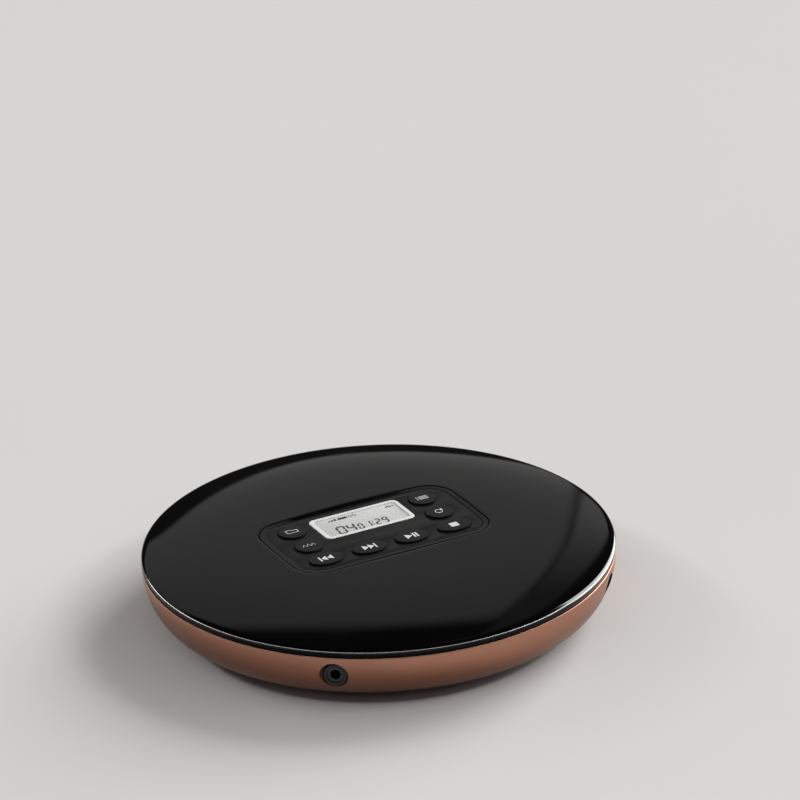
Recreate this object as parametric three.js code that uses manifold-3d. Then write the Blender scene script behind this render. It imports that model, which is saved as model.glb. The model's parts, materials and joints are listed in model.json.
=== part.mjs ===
// Portable CD player: a round, low case with a domed lid that carries the keypad and the display.
// Millimetres, +Z up. The origin is on the ground under the middle of the case, -Y is the front,
// +X is the player's right, and the lid's hinge is at the back (+Y).
import * as THREE from "three";
import { mergeVertices } from "three/addons/utils/BufferGeometryUtils.js";
import Module from "manifold-3d";

const wasm = await Module();
wasm.setup();

// ---------------------------------------------------------------- driving dimensions (mm)
const BODY_R = 71; // greatest radius of the case and of the lid
const PART_Z = 18.4; // top edge of the metal side wall, where the lid meets it
const LID_GAP = 0.3; // seam between the side wall and the lid
const LID_Z = PART_Z + LID_GAP; // underside of the lid's rim
const TOP_Z = 25; // highest point of the domed lid and of the keys
const FOOT_H = 1.2; // rubber showing below the case
const ROUND = 48; // segments round the case

const DISC_Z = 16.6; // underside of a disc that lies on the turntable
const DISC_BORE_R = 7.5;
const LENS_Y = -25; // lens centre with the sled at its inner end
const SLED_TRAVEL = 32;

// ---------------------------------------------------------------- finishes
const FINISHES = {
  gloss_black: { color: 0x08080a, roughness: 0.06, metalness: 0 },
  copper: { color: 0x9c5a3e, roughness: 0.32, metalness: 0.9 },
  matte_black: { color: 0x17171a, roughness: 0.6, metalness: 0 },
  rubber_black: { color: 0x1b1b1c, roughness: 0.85, metalness: 0 },
  key_black: { color: 0x101012, roughness: 0.4, metalness: 0 },
  white_plastic: { color: 0xe9eaec, roughness: 0.35, metalness: 0 },
  lcd_grey: { color: 0xb9bdbb, roughness: 0.3, metalness: 0 },
  clear_plastic: { color: 0xe8eef0, roughness: 0.05, metalness: 0 },
  board_green: { color: 0x174a2c, roughness: 0.5, metalness: 0 },
  steel: { color: 0xb6b8ba, roughness: 0.28, metalness: 1 },
  gear_white: { color: 0xdedbd0, roughness: 0.45, metalness: 0 },
  sled_black: { color: 0x222326, roughness: 0.55, metalness: 0 },
  lens_glass: { color: 0x8fa5c4, roughness: 0.05, metalness: 0 },
  battery_blue: { color: 0x2b4f87, roughness: 0.5, metalness: 0 },
  flex_amber: { color: 0xb9742a, roughness: 0.45, metalness: 0 },
};

// ---------------------------------------------------------------- solids
function toSolid(geometry) {
  const bare = geometry.clone();
  bare.deleteAttribute("normal");
  bare.deleteAttribute("uv");
  const merged = mergeVertices(bare, 1e-4);
  return new wasm.Manifold(
    new wasm.Mesh({
      numProp: 3,
      vertProperties: new Float32Array(merged.attributes.position.array),
      triVerts: new Uint32Array(merged.index.array),
    }),
  );
}

function toGeometry(solid) {
  const mesh = solid.getMesh();
  const geometry = new THREE.BufferGeometry();
  geometry.setAttribute("position", new THREE.BufferAttribute(mesh.vertProperties, 3));
  geometry.setIndex(new THREE.BufferAttribute(mesh.triVerts, 1));
  geometry.computeVertexNormals();
  return geometry;
}

const join = (...parts) => toGeometry(parts.map(toSolid).reduce((a, b) => a.add(b)));
const cut = (body, ...tools) => toGeometry(tools.map(toSolid).reduce((a, b) => a.subtract(b), toSolid(body)));
const common = (a, b) => toGeometry(toSolid(a).intersect(toSolid(b)));

// A box between two corners.
function block(x0, x1, y0, y1, z0, z1) {
  const box = new THREE.BoxGeometry(x1 - x0, y1 - y0, z1 - z0);
  return box.translate((x0 + x1) / 2, (y0 + y1) / 2, (z0 + z1) / 2);
}

// An upright cylinder, or a cone when topR differs.
function post(r, z0, z1, x = 0, y = 0, segments = 20, topR = r) {
  const tube = new THREE.CylinderGeometry(topR, r, z1 - z0, segments);
  return tube.rotateX(Math.PI / 2).translate(x, y, (z0 + z1) / 2);
}

// A cylinder along X, or a cone when endR differs.
function rodX(r, x0, x1, y, z, segments = 16, endR = r) {
  const tube = new THREE.CylinderGeometry(endR, r, x1 - x0, segments);
  return tube.rotateZ(-Math.PI / 2).translate((x0 + x1) / 2, y, z);
}

// A cylinder along Y.
function rodY(r, y0, y1, x, z, segments = 16) {
  return new THREE.CylinderGeometry(r, r, y1 - y0, segments).translate(x, (y0 + y1) / 2, z);
}

// A solid of revolution about Z from [radius, z] points that run anticlockwise.
function turned(profile, segments = ROUND) {
  const points = profile.map(([r, z]) => new THREE.Vector2(r, z));
  const onAxis = profile[0][0] === 0;
  if (!onAxis) points.push(points[0].clone());
  return new THREE.LatheGeometry(points, segments).rotateX(Math.PI / 2);
}

// An upright prism of a flat shape.
function prism(shape, z0, z1, curveSegments = 10) {
  const extrusion = new THREE.ExtrudeGeometry(shape, { depth: z1 - z0, bevelEnabled: false, curveSegments });
  return extrusion.translate(0, 0, z0);
}

function polygon(points) {
  return new THREE.Shape(points.map(([x, y]) => new THREE.Vector2(x, y)));
}

function roundedRect(width, height, radius, x = 0, y = 0) {
  const [w, h] = [width / 2 - radius, height / 2 - radius];
  const shape = new THREE.Shape();
  shape.absarc(x + w, y + h, radius, 0, Math.PI / 2);
  shape.absarc(x - w, y + h, radius, Math.PI / 2, Math.PI);
  shape.absarc(x - w, y - h, radius, Math.PI, (3 * Math.PI) / 2);
  shape.absarc(x + w, y - h, radius, (3 * Math.PI) / 2, 2 * Math.PI);
  shape.closePath();
  return shape;
}

function ellipse(x, y, rx, ry) {
  return new THREE.Path().absellipse(x, y, rx, ry, 0, 2 * Math.PI);
}

// A rounded slot whose section lies across X, as a cutter that runs from x0 to x1.
function slotX(width, height, radius, x0, x1, z) {
  const slot = prism(roundedRect(width, height, radius), x0, x1, 3);
  return slot.rotateX(Math.PI / 2).rotateZ(Math.PI / 2).translate(0, 0, z);
}

const turnZ = (geometry, degrees) => geometry.rotateZ(THREE.MathUtils.degToRad(degrees));

// ---------------------------------------------------------------- case profile
const WALL = 1.5;
const BOWL_R = 59.3; // inner edge of the side wall, at the bottom cover
const BOWL_TOP_Z = PART_Z - 0.3;
const BOWL_BOTTOM_Z = 2.6;
const COVER_R = 59; // bottom cover, with a chamfered lower edge
const COVER_FLAT_R = 57.6;
const COVER_LIP_Z = 4.6;
const COVER_TOP_Z = 2.8;

// The side wall is a quarter of an ellipse that turns under towards the bottom cover.
function bowlArc(inset, steps) {
  const a = BODY_R - BOWL_R - inset;
  const b = BOWL_TOP_Z - BOWL_BOTTOM_Z - inset;
  return Array.from({ length: steps + 1 }, (_, i) => {
    const t = ((i / steps) * Math.PI) / 2;
    return [BOWL_R + a * Math.cos(t), BOWL_TOP_Z - b * Math.sin(t)];
  });
}

// Places of the sockets and controls round the side wall, in degrees from +X.
const HEADPHONE_AT = -128.5;
const LINE_OUT_AT = -42;
const USB_AT = 135;
const VOLUME_DOWN_AT = 24;
const VOLUME_UP_AT = 33;
const HOLD_AT = 58;
const JACK_Z = 11.6;
const USB_Z = 10.9;
const CONTROL_Z = 12.4;
const WALL_CUT_FROM = 66; // openings in the side wall are cut from here outwards
const WALL_CUT_TO = 74;

const HINGE_Y = 68;
const HINGE_Z = 16.4;
const HINGE_HALF = 21; // half width of the recess in the side wall
const HINGE_CUT_Z = 12.4; // floor of that recess
const KNUCKLE_R = 1.9;
const KNUCKLE_HALF = 13.2;
const PIN_R = 0.95;
const PIN_BORE_R = 1.2;

const SCREW_X = 37;
const SCREW_Y = 34.5;
const SCREWS = [[1, 1], [-1, 1], [-1, -1], [1, -1]].map(([x, y]) => [x * SCREW_X, y * SCREW_Y]);
const FOOT_AT_R = 49;
const FOOT_R = 4.2;
const FEET = [[0, -FOOT_AT_R], [FOOT_AT_R, 0], [0, FOOT_AT_R], [-FOOT_AT_R, 0]];
const FOOT_TOP_Z = 1.7;

function jackRecess(degrees) {
  const cone = rodX(3.3, 67, 71.2, 0, 0, 16, 5.2);
  return turnZ(cone.scale(1, 1, 1.12).translate(0, 0, JACK_Z), degrees);
}

function wallSlot(width, height, radius, z, degrees) {
  return turnZ(slotX(width, height, radius, WALL_CUT_FROM, WALL_CUT_TO, z), degrees);
}

function sideShell() {
  const ring = turned([
    ...bowlArc(0, 6).reverse(),
    [BODY_R - 0.4, PART_Z],
    [BODY_R - WALL, PART_Z],
    ...bowlArc(WALL, 4),
  ]);
  return cut(
    ring,
    jackRecess(HEADPHONE_AT),
    jackRecess(LINE_OUT_AT),
    wallSlot(10.2, 4.4, 2.1, USB_Z, USB_AT),
    wallSlot(7.6, 4, 1.9, CONTROL_Z, VOLUME_DOWN_AT),
    wallSlot(7.6, 4, 1.9, CONTROL_Z, VOLUME_UP_AT),
    wallSlot(9.4, 3.8, 1.8, CONTROL_Z, HOLD_AT),
    wallSlot(17, 5, 2.4, CONTROL_Z, 0), // for the opening slide
    block(-HINGE_HALF, HINGE_HALF, 60, WALL_CUT_TO, HINGE_CUT_Z, 20),
  );
}

function bottomCover() {
  const plate = turned([
    [0, FOOT_H], [COVER_FLAT_R, FOOT_H], [COVER_R, 2.3], [COVER_R, COVER_LIP_Z],
    [COVER_FLAT_R, COVER_LIP_Z], [COVER_FLAT_R, COVER_TOP_Z], [0, COVER_TOP_Z],
  ], 36);
  const bosses = SCREWS.map(([x, y]) => post(3, 2, 6.6, x, y, 12));
  const standoffs = [[0, 41], [45, 12]].map(([x, y]) => post(1.8, 2, 7.6, x, y, 8));
  const shafts = SCREWS.map(([x, y]) => post(1.15, 0, 9, x, y, 8));
  const counterbores = SCREWS.map(([x, y]) => post(2.2, 0, 3.2, x, y, 12));
  const footRecesses = FEET.map(([x, y]) => post(FOOT_R + 0.3, 0, FOOT_TOP_Z, x, y, 16));
  return cut(join(plate, ...bosses, ...standoffs), ...shafts, ...counterbores, ...footRecesses);
}

const foot = () => turned([[0, 0], [FOOT_R - 0.3, 0], [FOOT_R, 0.3], [FOOT_R, FOOT_TOP_Z], [0, FOOT_TOP_Z]], 16);

const caseScrew = () => turned([
  [0, 1.6], [1.9, 1.6], [1.9, 3.1], [0.8, 3.1], [0.8, 12.4], [0, 12.8],
], 8);

// ---------------------------------------------------------------- disc well
const DECK_FLOOR_Z = 15.4;
const DECK_UNDER_Z = 14.4;
const WELL_R = 61.2;
const RIM_Z = 17.9;
const RIM_UNDER_Z = 16.6;
const DECK_R = 68.9; // outer edge of the deck's rim
const DECK_FLOOR_R = 60.2; // where the floor turns up into the rim
const DECK_HUB_R = 7;
const LENS_SLOT_HALF = 6.8;
const SCOOP_X = 58; // finger scoops each side of the disc
const SCOOP_R = 8.6;
const CATCH_X0 = 62.8; // blade of the lid catch
const CATCH_X1 = 64;
const CATCH_HALF = 3.5;
const CATCH_FOOT_Y = 6.4;
const CATCH_LOW_Z = 14.9;
const CATCH_TOP_Z = 19.8;
const CABLE_HALF = 5.5; // half width of the flat cable to the lid
const CABLE_SLOT_HALF = 7;

function trayDeck() {
  const blank = turned([
    [DECK_HUB_R, DECK_UNDER_Z], [DECK_FLOOR_R, DECK_UNDER_Z], [DECK_FLOOR_R, RIM_UNDER_Z],
    [DECK_R, RIM_UNDER_Z], [DECK_R, RIM_Z], [DECK_HUB_R, RIM_Z],
  ]);
  const well = turned([
    [0, DECK_FLOOR_Z], [WELL_R, DECK_FLOOR_Z], [WELL_R + 0.5, RIM_Z], [WELL_R + 0.5, RIM_Z + 1], [0, RIM_Z + 1],
  ]);
  const posts = SCREWS.map(([x, y]) => post(2.8, 7, 15, x, y, 12));
  const pilots = SCREWS.map(([x, y]) => post(1, 6, 13.6, x, y, 8));
  const cup = post(SCOOP_R + 1.2, DECK_UNDER_Z, RIM_Z, -SCOOP_X, 0, 20);
  const scoop = post(SCOOP_R, DECK_FLOOR_Z, 20, -SCOOP_X, 0, 20);
  const lensSlot = prism(roundedRect(2 * LENS_SLOT_HALF, 46, 3, 0, -37.9), 12, 17, 3);
  return cut(
    join(blank, cup, ...posts),
    well,
    scoop,
    ...pilots,
    lensSlot,
    block(-HINGE_HALF, HINGE_HALF, 65.4, 75, 12, 20), // room for the hinge
    block(CATCH_X0 - 0.5, CATCH_X1 + 0.5, -CATCH_HALF - 0.6, CATCH_FOOT_Y + 0.7, 14, 20), // for the catch
    block(-CABLE_SLOT_HALF, CABLE_SLOT_HALF, 63.4, 64.7, 14, 20), // for the flat cable
  );
}

// ---------------------------------------------------------------- lid
const DOME_R = 70;
const DOME_DROP = 4.1;
const DOME_POWER = 3.3;
const domeZ = (r) => TOP_Z - DOME_DROP * (r / DOME_R) ** DOME_POWER;
const LINER_Z = 19.9;
const LINER_TOP_Z = 20.6;
const LINER_R = 62.5;
const LID_INNER_R = 69.3; // inside of the lid's upright rim
const LID_BOSS_AT_R = 54;
const LID_BOSSES = [45, 135, 225, 315].map((a) => {
  const t = THREE.MathUtils.degToRad(a);
  return [LID_BOSS_AT_R * Math.cos(t), LID_BOSS_AT_R * Math.sin(t)];
});

// The keypad's outline: a rounded rectangle with slightly bowed sides.
const PAD_Y = 2.45;
const PAD_HALF_W = 32.7;
const PAD_HALF_H = 19.35;
const PAD_CORNER = 8;
const BEZEL_W = 2.1;

function padOutline(inset) {
  const [w, h, r] = [PAD_HALF_W - inset, PAD_HALF_H - inset, PAD_CORNER - inset];
  const [bowX, bowY] = [0.6 / w, 0.7 / h];
  const corners = [[w - r, h - r, 0], [r - w, h - r, 90], [r - w, r - h, 180], [w - r, r - h, 270]];
  const points = [];
  corners.forEach(([cx, cy, start], i) => {
    for (let k = 0; k <= 5; k++) {
      const t = THREE.MathUtils.degToRad(start + k * 18);
      points.push([cx + r * Math.cos(t), cy + r * Math.sin(t)]);
    }
    const [from, to] = [points[points.length - 1], corners[(i + 1) % 4]];
    const [tx, ty] = i % 2 ? [from[0], to[1]] : [to[0], from[1]];
    for (const share of [0.25, 0.5, 0.75]) {
      points.push([from[0] + (tx - from[0]) * share, from[1] + (ty - from[1]) * share]);
    }
  });
  return points.map(([x, y]) => [
    x * (1 - bowX * (y / h) ** 2),
    PAD_Y + y * (1 - bowY * (x / w) ** 2),
  ]);
}

// A closed ring that follows the keypad's outline; its section is a list of [inset, height(x, y)].
function padRing(section) {
  const rows = section.map(([inset, height]) => padOutline(inset).map(([x, y]) => [x, y, height(x, y)]));
  const [m, n] = [rows.length, rows[0].length];
  const index = [];
  for (let i = 0; i < m; i++) {
    for (let j = 0; j < n; j++) {
      const [a, b] = [i * n + j, i * n + ((j + 1) % n)];
      const [c, d] = [((i + 1) % m) * n + j, ((i + 1) % m) * n + ((j + 1) % n)];
      index.push(a, b, d, a, d, c);
    }
  }
  const geometry = new THREE.BufferGeometry();
  geometry.setAttribute("position", new THREE.Float32BufferAttribute(rows.flat(2), 3));
  geometry.setIndex(index);
  return geometry;
}

function lidShell() {
  const outerR = [62, 52, 38, 0];
  const innerR = [0, 50, 64];
  const shell = turned([
    ...innerR.map((r) => [r, domeZ(r) - WALL]),
    [LID_INNER_R, 19.5],
    [LID_INNER_R, LID_Z],
    [BODY_R, LID_Z],
    [BODY_R, 19.8],
    [70.6, 20.6],
    [69, domeZ(69)],
    ...outerR.map((r) => [r, domeZ(r)]),
  ]);
  const bosses = LID_BOSSES.map(([x, y]) => post(2.4, LINER_TOP_Z + 0.1, 22, x, y, 10));
  const pilots = LID_BOSSES.map(([x, y]) => post(0.8, 20, 21.4, x, y, 6));
  const knuckle = rodX(KNUCKLE_R, -KNUCKLE_HALF, KNUCKLE_HALF, HINGE_Y, HINGE_Z);
  const web = block(-KNUCKLE_HALF, KNUCKLE_HALF, HINGE_Y - 1.6, HINGE_Y + 1.6, HINGE_Z, 19.6);
  return cut(
    join(shell, ...bosses, common(join(knuckle, web), post(BODY_R - 0.2, 10, 21, 0, 0, ROUND))),
    prism(polygon(padOutline(0)), 21, 26),
    ...pilots,
    rodX(PIN_BORE_R, -20, 20, HINGE_Y, HINGE_Z),
  );
}

function lidLiner() {
  const plate = turned([[0, LINER_Z], [LINER_R, LINER_Z], [LINER_R, LINER_TOP_Z], [0, LINER_TOP_Z]], 36);
  const holes = LID_BOSSES.map(([x, y]) => post(1.1, 19, 22, x, y, 8));
  return cut(plate, ...holes, block(-CABLE_SLOT_HALF, CABLE_SLOT_HALF, 58.6, 60.2, 19, 22));
}

// The catch hangs from the lid's liner into the base: a blade with a foot that the latch holds.
function lidCatch() {
  return join(
    block(58.5, CATCH_X1, -CATCH_HALF, CATCH_HALF, CATCH_TOP_Z - 0.7, CATCH_TOP_Z),
    block(CATCH_X0, CATCH_X1, -CATCH_HALF, CATCH_HALF, CATCH_LOW_Z, CATCH_TOP_Z),
    block(CATCH_X0, CATCH_X1, -CATCH_HALF, CATCH_FOOT_Y, CATCH_LOW_Z, CATCH_LOW_Z + 0.8),
  );
}

// A flat cable's strip: a thin band across X that follows a path of [y, z] points.
function strip(halfWidth, path) {
  const thick = 0.15;
  const upper = path.map(([y, z, oy, oz]) => [y + oy * thick, z + oz * thick]);
  const outline = [...path.map(([y, z]) => [y, z]), ...upper.reverse()];
  const band = prism(polygon(outline), -halfWidth, halfWidth);
  return band.rotateX(Math.PI / 2).rotateZ(Math.PI / 2);
}

// ---------------------------------------------------------------- keypad and display
const PLATE_Z = 24.4; // top face of the keypad plate
const PLATE_UNDER_Z = 23.4;
const KEY_CLEAR = 0.25;
const ROUND_KEY = [4.25, 4.25];
const OVAL_KEY = [5.45, 3.75];
const SIDE_X = 22.05;
const ROW_X = [21.5, 7.15];
const [UPPER_Y, MIDDLE_Y, LOWER_Y] = [13.15, 2.2, -8.25];
const KEYS = [
  ["key_directory", -SIDE_X, UPPER_Y, ROUND_KEY],
  ["key_anti_shock", -SIDE_X, MIDDLE_Y, ROUND_KEY],
  ["key_mode", SIDE_X, UPPER_Y, ROUND_KEY],
  ["key_repeat", SIDE_X, MIDDLE_Y, ROUND_KEY],
  ["key_previous", -ROW_X[0], LOWER_Y, OVAL_KEY],
  ["key_next", -ROW_X[1], LOWER_Y, OVAL_KEY],
  ["key_play_pause", ROW_X[1], LOWER_Y, OVAL_KEY],
  ["key_stop", ROW_X[0], LOWER_Y, OVAL_KEY],
];
const LCD_Y = 10.35;
const LCD_W = 29.9;
const LCD_H = 14.3;
const LCD_CORNER = 2;
const LCD_LOW_Z = 21.6;
const CELL_TOP_Z = 24.2; // face of the liquid-crystal cell

function keypadBezel() {
  const flush = (x, y) => Math.max(domeZ(Math.hypot(x, y)) - 0.08, PLATE_Z + 0.1);
  return padRing([
    [0.2, () => PLATE_UNDER_Z],
    [0.2, flush],
    [BEZEL_W, () => PLATE_Z],
    [BEZEL_W, () => PLATE_UNDER_Z],
  ]);
}

function keypadPlate() {
  const plate = polygon(padOutline(BEZEL_W + 0.2));
  plate.holes.push(roundedRect(LCD_W + 0.4, LCD_H + 0.4, LCD_CORNER + 0.2, 0, LCD_Y));
  KEYS.forEach(([, x, y, [rx, ry]]) => plate.holes.push(ellipse(x, y, rx + KEY_CLEAR, ry + KEY_CLEAR)));
  return prism(plate, PLATE_UNDER_Z, PLATE_Z - 0.05, 7);
}

function keyCap([rx, ry]) {
  const [flange, flangeTop, shoulder] = [0.6, 23.1, 24.7];
  const cap = turned([
    [0, 22.5], [rx + flange, 22.5], [rx + flange, flangeTop], [rx, flangeTop], [rx, shoulder],
    [rx - 0.4, TOP_Z - 0.1], [0, TOP_Z],
  ], 16);
  return cap.scale(1, ry / rx, 1);
}

function lcdFrame() {
  const ring = roundedRect(LCD_W, LCD_H, LCD_CORNER, 0, LCD_Y);
  ring.holes.push(roundedRect(LCD_W - 2.6, LCD_H - 2.6, 1.2, 0, LCD_Y));
  return prism(ring, PLATE_UNDER_Z, PLATE_Z + 0.1, 3);
}

const lcdWindow = () => prism(roundedRect(LCD_W - 3, LCD_H - 3, 1, 0, LCD_Y), CELL_TOP_Z + 0.05, PLATE_Z + 0.05, 3);

// The display module: a housing behind the plate with the cell standing up in the frame.
function lcdModule() {
  const housing = prism(roundedRect(LCD_W - 2, LCD_H - 2, 0.8, 0, LCD_Y), LCD_LOW_Z, PLATE_UNDER_Z - 0.1, 2);
  return join(housing, prism(roundedRect(LCD_W - 3, LCD_H - 3, 1, 0, LCD_Y), LCD_LOW_Z, CELL_TOP_Z, 3));
}

function keyMat() {
  const sheet = polygon(padOutline(3));
  sheet.holes.push(roundedRect(LCD_W, LCD_H, 1, 0, LCD_Y));
  return prism(sheet, 21.6, 21.9, 2);
}

const lidBoard = () => prism(polygon(padOutline(2.5)), 20.85, 21.5);

// ---------------------------------------------------------------- hinge
const LUG_X0 = 13.6;
const LUG_X1 = 18.6;

function hingeBracket() {
  const foot = block(-20.6, 20.6, 62.6, 72, 12.7, 14);
  const lugs = [-1, 1].map((side) => {
    const [x0, x1] = side > 0 ? [LUG_X0, LUG_X1] : [-LUG_X1, -LUG_X0];
    return join(
      rodX(KNUCKLE_R, x0, x1, HINGE_Y, HINGE_Z),
      block(x0, x1, HINGE_Y - KNUCKLE_R + 0.1, HINGE_Y + KNUCKLE_R - 0.1, 13.5, HINGE_Z),
    );
  });
  const bracket = common(join(foot, ...lugs), post(70.2, 10, 20, 0, 0, ROUND));
  return cut(bracket, rodX(PIN_BORE_R, -22, 22, HINGE_Y, HINGE_Z));
}

const hingePin = () => rodX(PIN_R, -18.4, 18.4, HINGE_Y, HINGE_Z, 12);

// ---------------------------------------------------------------- electronics in the base
const BOARD_Z = 7.8;
const BOARD_TOP_Z = 8.8;

function mainBoard() {
  const [inner, outer] = [49, 63.5];
  const arm = new THREE.Shape();
  const [a0, a1] = [-56, 60].map(THREE.MathUtils.degToRad);
  arm.absarc(0, 0, outer, a0, a1, false);
  arm.absarc(0, 0, inner, a1, a0, true);
  arm.closePath();
  const rear = new THREE.Shape();
  const edge = Math.asin(24 / outer);
  rear.absarc(0, 0, outer, edge, Math.PI - edge, false);
  rear.closePath();
  const chips = [[0, 36, 14, 10], [-22, 50, 9, 9], [24, 33, 8, 6], [55, -12, 6, 9]];
  return cut(
    join(
      prism(arm, BOARD_Z, BOARD_TOP_Z, 12),
      prism(rear, BOARD_Z, BOARD_TOP_Z, 14),
      ...chips.map(([x, y, w, d]) => block(x - w / 2, x + w / 2, y - d / 2, y + d / 2, BOARD_TOP_Z - 0.2, 10)),
    ),
    ...SCREWS.map(([x, y]) => post(3.5, 6, 10, x, y, 10)),
  );
}

const batteryPack = () => prism(roundedRect(26, 42, 2.4, -40, 0), 2.9, 9, 3);

// A 3.5 mm socket that looks out along +X.
function jackSocket() {
  const body = block(55.6, 66.2, -3.1, 3.1, 9.3, 14.1);
  return cut(join(body, rodX(2.3, 66, 66.7, 0, JACK_Z, 14)), rodX(1.78, 57, 69, 0, JACK_Z, 12));
}

// A USB-C socket that looks out along +X: an oval tube with a tongue and a closed back.
function usbSocket() {
  const shell = slotX(8.9, 3.2, 1.5, 60.6, 67.6, USB_Z);
  const mouth = slotX(8.3, 2.6, 1.2, 62, 68, USB_Z);
  return join(cut(shell, mouth), block(61.5, 67, -3.3, 3.3, USB_Z - 0.35, USB_Z + 0.35));
}

// Two push switches on an upright board behind the volume keys.
function volumeBoard() {
  return join(
    block(62.4, 63.2, -9, 9, 9, 15),
    ...[-1, 1].map((side) => block(63, 65.3, side * 5.1 - 1.7, side * 5.1 + 1.7, 10.8, 14)),
  );
}

const holdSwitch = () => join(
  block(61.8, 64.4, -4.5, 4.5, 9, 14.6),
  block(64, 65, -3.2, 3.2, 11, 13.8),
);

// ---------------------------------------------------------------- controls on the side wall
function volumeKey() {
  return join(block(66.2, 66.8, -4.2, 4.2, CONTROL_Z - 2.4, CONTROL_Z + 2.4), slotX(7, 3.4, 1.6, 66.5, 70.5, CONTROL_Z));
}

function holdKnob() {
  return join(block(65.3, 66.2, -4.6, 1.6, CONTROL_Z - 2.4, CONTROL_Z + 2.4), slotX(3.6, 3.2, 0.6, 66, 70.4, CONTROL_Z)
    .translate(0, -1.5, 0));
}

// The opening slide: a thumb piece, a plate behind the wall and the tongue for the lid catch.
function openSlide() {
  return join(
    block(64.8, 65.7, -11.5, 10.8, 10.2, 15.6),
    slotX(8, 4.6, 1.2, 65.4, 70.4, CONTROL_Z).translate(0, -1.5, 0),
    block(62.9, 65.2, 6.8, 9.6, 15.9, 16.4),
    block(64.8, 65.7, 6.8, 9.6, 15, 16.4),
  );
}

// ---------------------------------------------------------------- disc drive
const PLATE_LOW_Z = 12.2;
const PLATE_TOP_Z = 13.2;
const DAMPERS = [[-20, 12], [20, 12], [-20, -46], [20.5, -46]];
const ROD_Z = 10.2;
const ROD_R = 1.1;
const ROD_BORE_R = 1.4;
const MAIN_ROD_X = -12;
const AUX_ROD_X = 10;

const MODULE = 0.8;
const SMALL_TEETH = 12;
const LARGE_TEETH = 30;
const PINION_TEETH = 10;
const GEAR_X = 20.6;
const GEAR_Y = -26.5;
const PINION_ANGLE = THREE.MathUtils.degToRad(20);
const pitchR = (teeth) => (MODULE * teeth) / 2;
const PINION_X = GEAR_X + (pitchR(LARGE_TEETH) + pitchR(PINION_TEETH)) * Math.cos(PINION_ANGLE);
const PINION_Y = GEAR_Y + (pitchR(LARGE_TEETH) + pitchR(PINION_TEETH)) * Math.sin(PINION_ANGLE);
const ADDENDUM = 0.8 * MODULE;
const DEDENDUM = 1.12 * MODULE;
const TOOTH_HALVES = [0.27, 0.12]; // half widths at root and tip, in pitches

// A spur gear's outline with a tooth at angle first.
function gearShape(teeth, x, y, first) {
  const radii = [pitchR(teeth) - DEDENDUM, pitchR(teeth) + ADDENDUM];
  const step = (2 * Math.PI) / teeth;
  const points = [];
  for (let i = 0; i < teeth; i++) {
    const middle = first + i * step;
    radii.forEach((r, k) => points.push([r, middle - TOOTH_HALVES[k] * step]));
    [1, 0].forEach((k) => points.push([radii[k], middle + TOOTH_HALVES[k] * step]));
  }
  return polygon(points.map(([r, t]) => [x + r * Math.cos(t), y + r * Math.sin(t)]));
}

// The sled's toothed edge faces +X and has a gap where the small gear has a tooth.
function rackShape(y0, y1) {
  const pitch = Math.PI * MODULE;
  const line = GEAR_X - pitchR(SMALL_TEETH);
  const [root, tip, back] = [line - DEDENDUM, line + ADDENDUM, 12.8];
  const xs = [root, tip];
  const points = [[back, y0], [root, y0]];
  const first = Math.ceil((y0 + 1 - GEAR_Y) / pitch - 0.5);
  for (let i = first; GEAR_Y + (i + 0.5) * pitch < y1 - 1; i++) {
    const middle = GEAR_Y + (i + 0.5) * pitch;
    xs.forEach((x, k) => points.push([x, middle - TOOTH_HALVES[k] * pitch]));
    [1, 0].forEach((k) => points.push([xs[k], middle + TOOTH_HALVES[k] * pitch]));
  }
  points.push([root, y1], [back, y1]);
  return polygon(points);
}

function chassisPlate() {
  const outline = [
    [-24, 17], [24, 17], [24, -6], [33, -12], [43, -14], [43, -27], [33, -30], [26.5, -37],
    [25, -50], [17, -64.8], [-17, -64.8], [-25, -50], [-25, -10],
  ];
  const plate = prism(polygon(outline.reverse()), PLATE_LOW_Z, PLATE_TOP_Z);
  const holders = [MAIN_ROD_X, AUX_ROD_X].flatMap((x) => [[-64.6, -62.3], [-14.6, -12.2]].map(
    ([y0, y1]) => block(x - 1.9, x + 1.9, y0, y1, 8.7, PLATE_LOW_Z + 0.2),
  ));
  const axle = post(0.8, 6.2, PLATE_LOW_Z + 0.2, GEAR_X, GEAR_Y, 12);
  return cut(
    join(plate, ...holders, axle),
    block(-9.6, 9.6, -62.4, -16.4, 11, 14),
    post(4, 11, 14, 0, 0, 16),
    ...DAMPERS.map(([x, y]) => post(2.1, 11, 14, x, y, 10)),
    ...[MAIN_ROD_X, AUX_ROD_X].map((x) => rodY(ROD_BORE_R, -63.3, -13.4, x, ROD_Z, 10)),
  );
}

const damper = () => turned([
  [0, 11.2], [3.3, 11.2], [3.3, 11.95], [1.8, 11.95], [1.8, 13.45], [3.3, 13.45], [3.3, 14.35], [0, 14.35],
], 10);

const spindleMotor = () => cut(
  turned([
    [0, 6.4], [9.9, 6.4], [10.5, 7], [10.5, 11.3], [9.9, 11.9], [3.6, 11.9], [3.6, 13.6], [0, 13.6],
  ], 20),
  post(1.2, 11.9, 14, 0, 0, 12),
);

const sledMotor = () => cut(
  turned([[0, 8.4], [5.5, 8.4], [6, 8.9], [6, 12.1], [0, 12.1]], 16),
  post(1.2, 8, 9.5, 0, 0, 12),
);

const guideRod = (x) => rodY(ROD_R, -63, -13.6, x, ROD_Z, 10);

const CLAW_TURNS = [90, 210, 330];
const CLAW_Z = 18.45;

function turntable() {
  const hubR = DISC_BORE_R - 0.15;
  const body = turned([
    [0, 12.2], [0.9, 12.2], [0.9, 15.9], [15, 15.9], [15, DISC_Z], [hubR, DISC_Z],
    [hubR, 18.8], [6.7, 19.4], [0, 19.4],
  ], 24);
  const pockets = CLAW_TURNS.map((a) => turnZ(block(4.4, 9, -1.4, 1.4, CLAW_Z - 0.8, CLAW_Z + 0.65), a));
  return cut(body, ...pockets);
}

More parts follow.
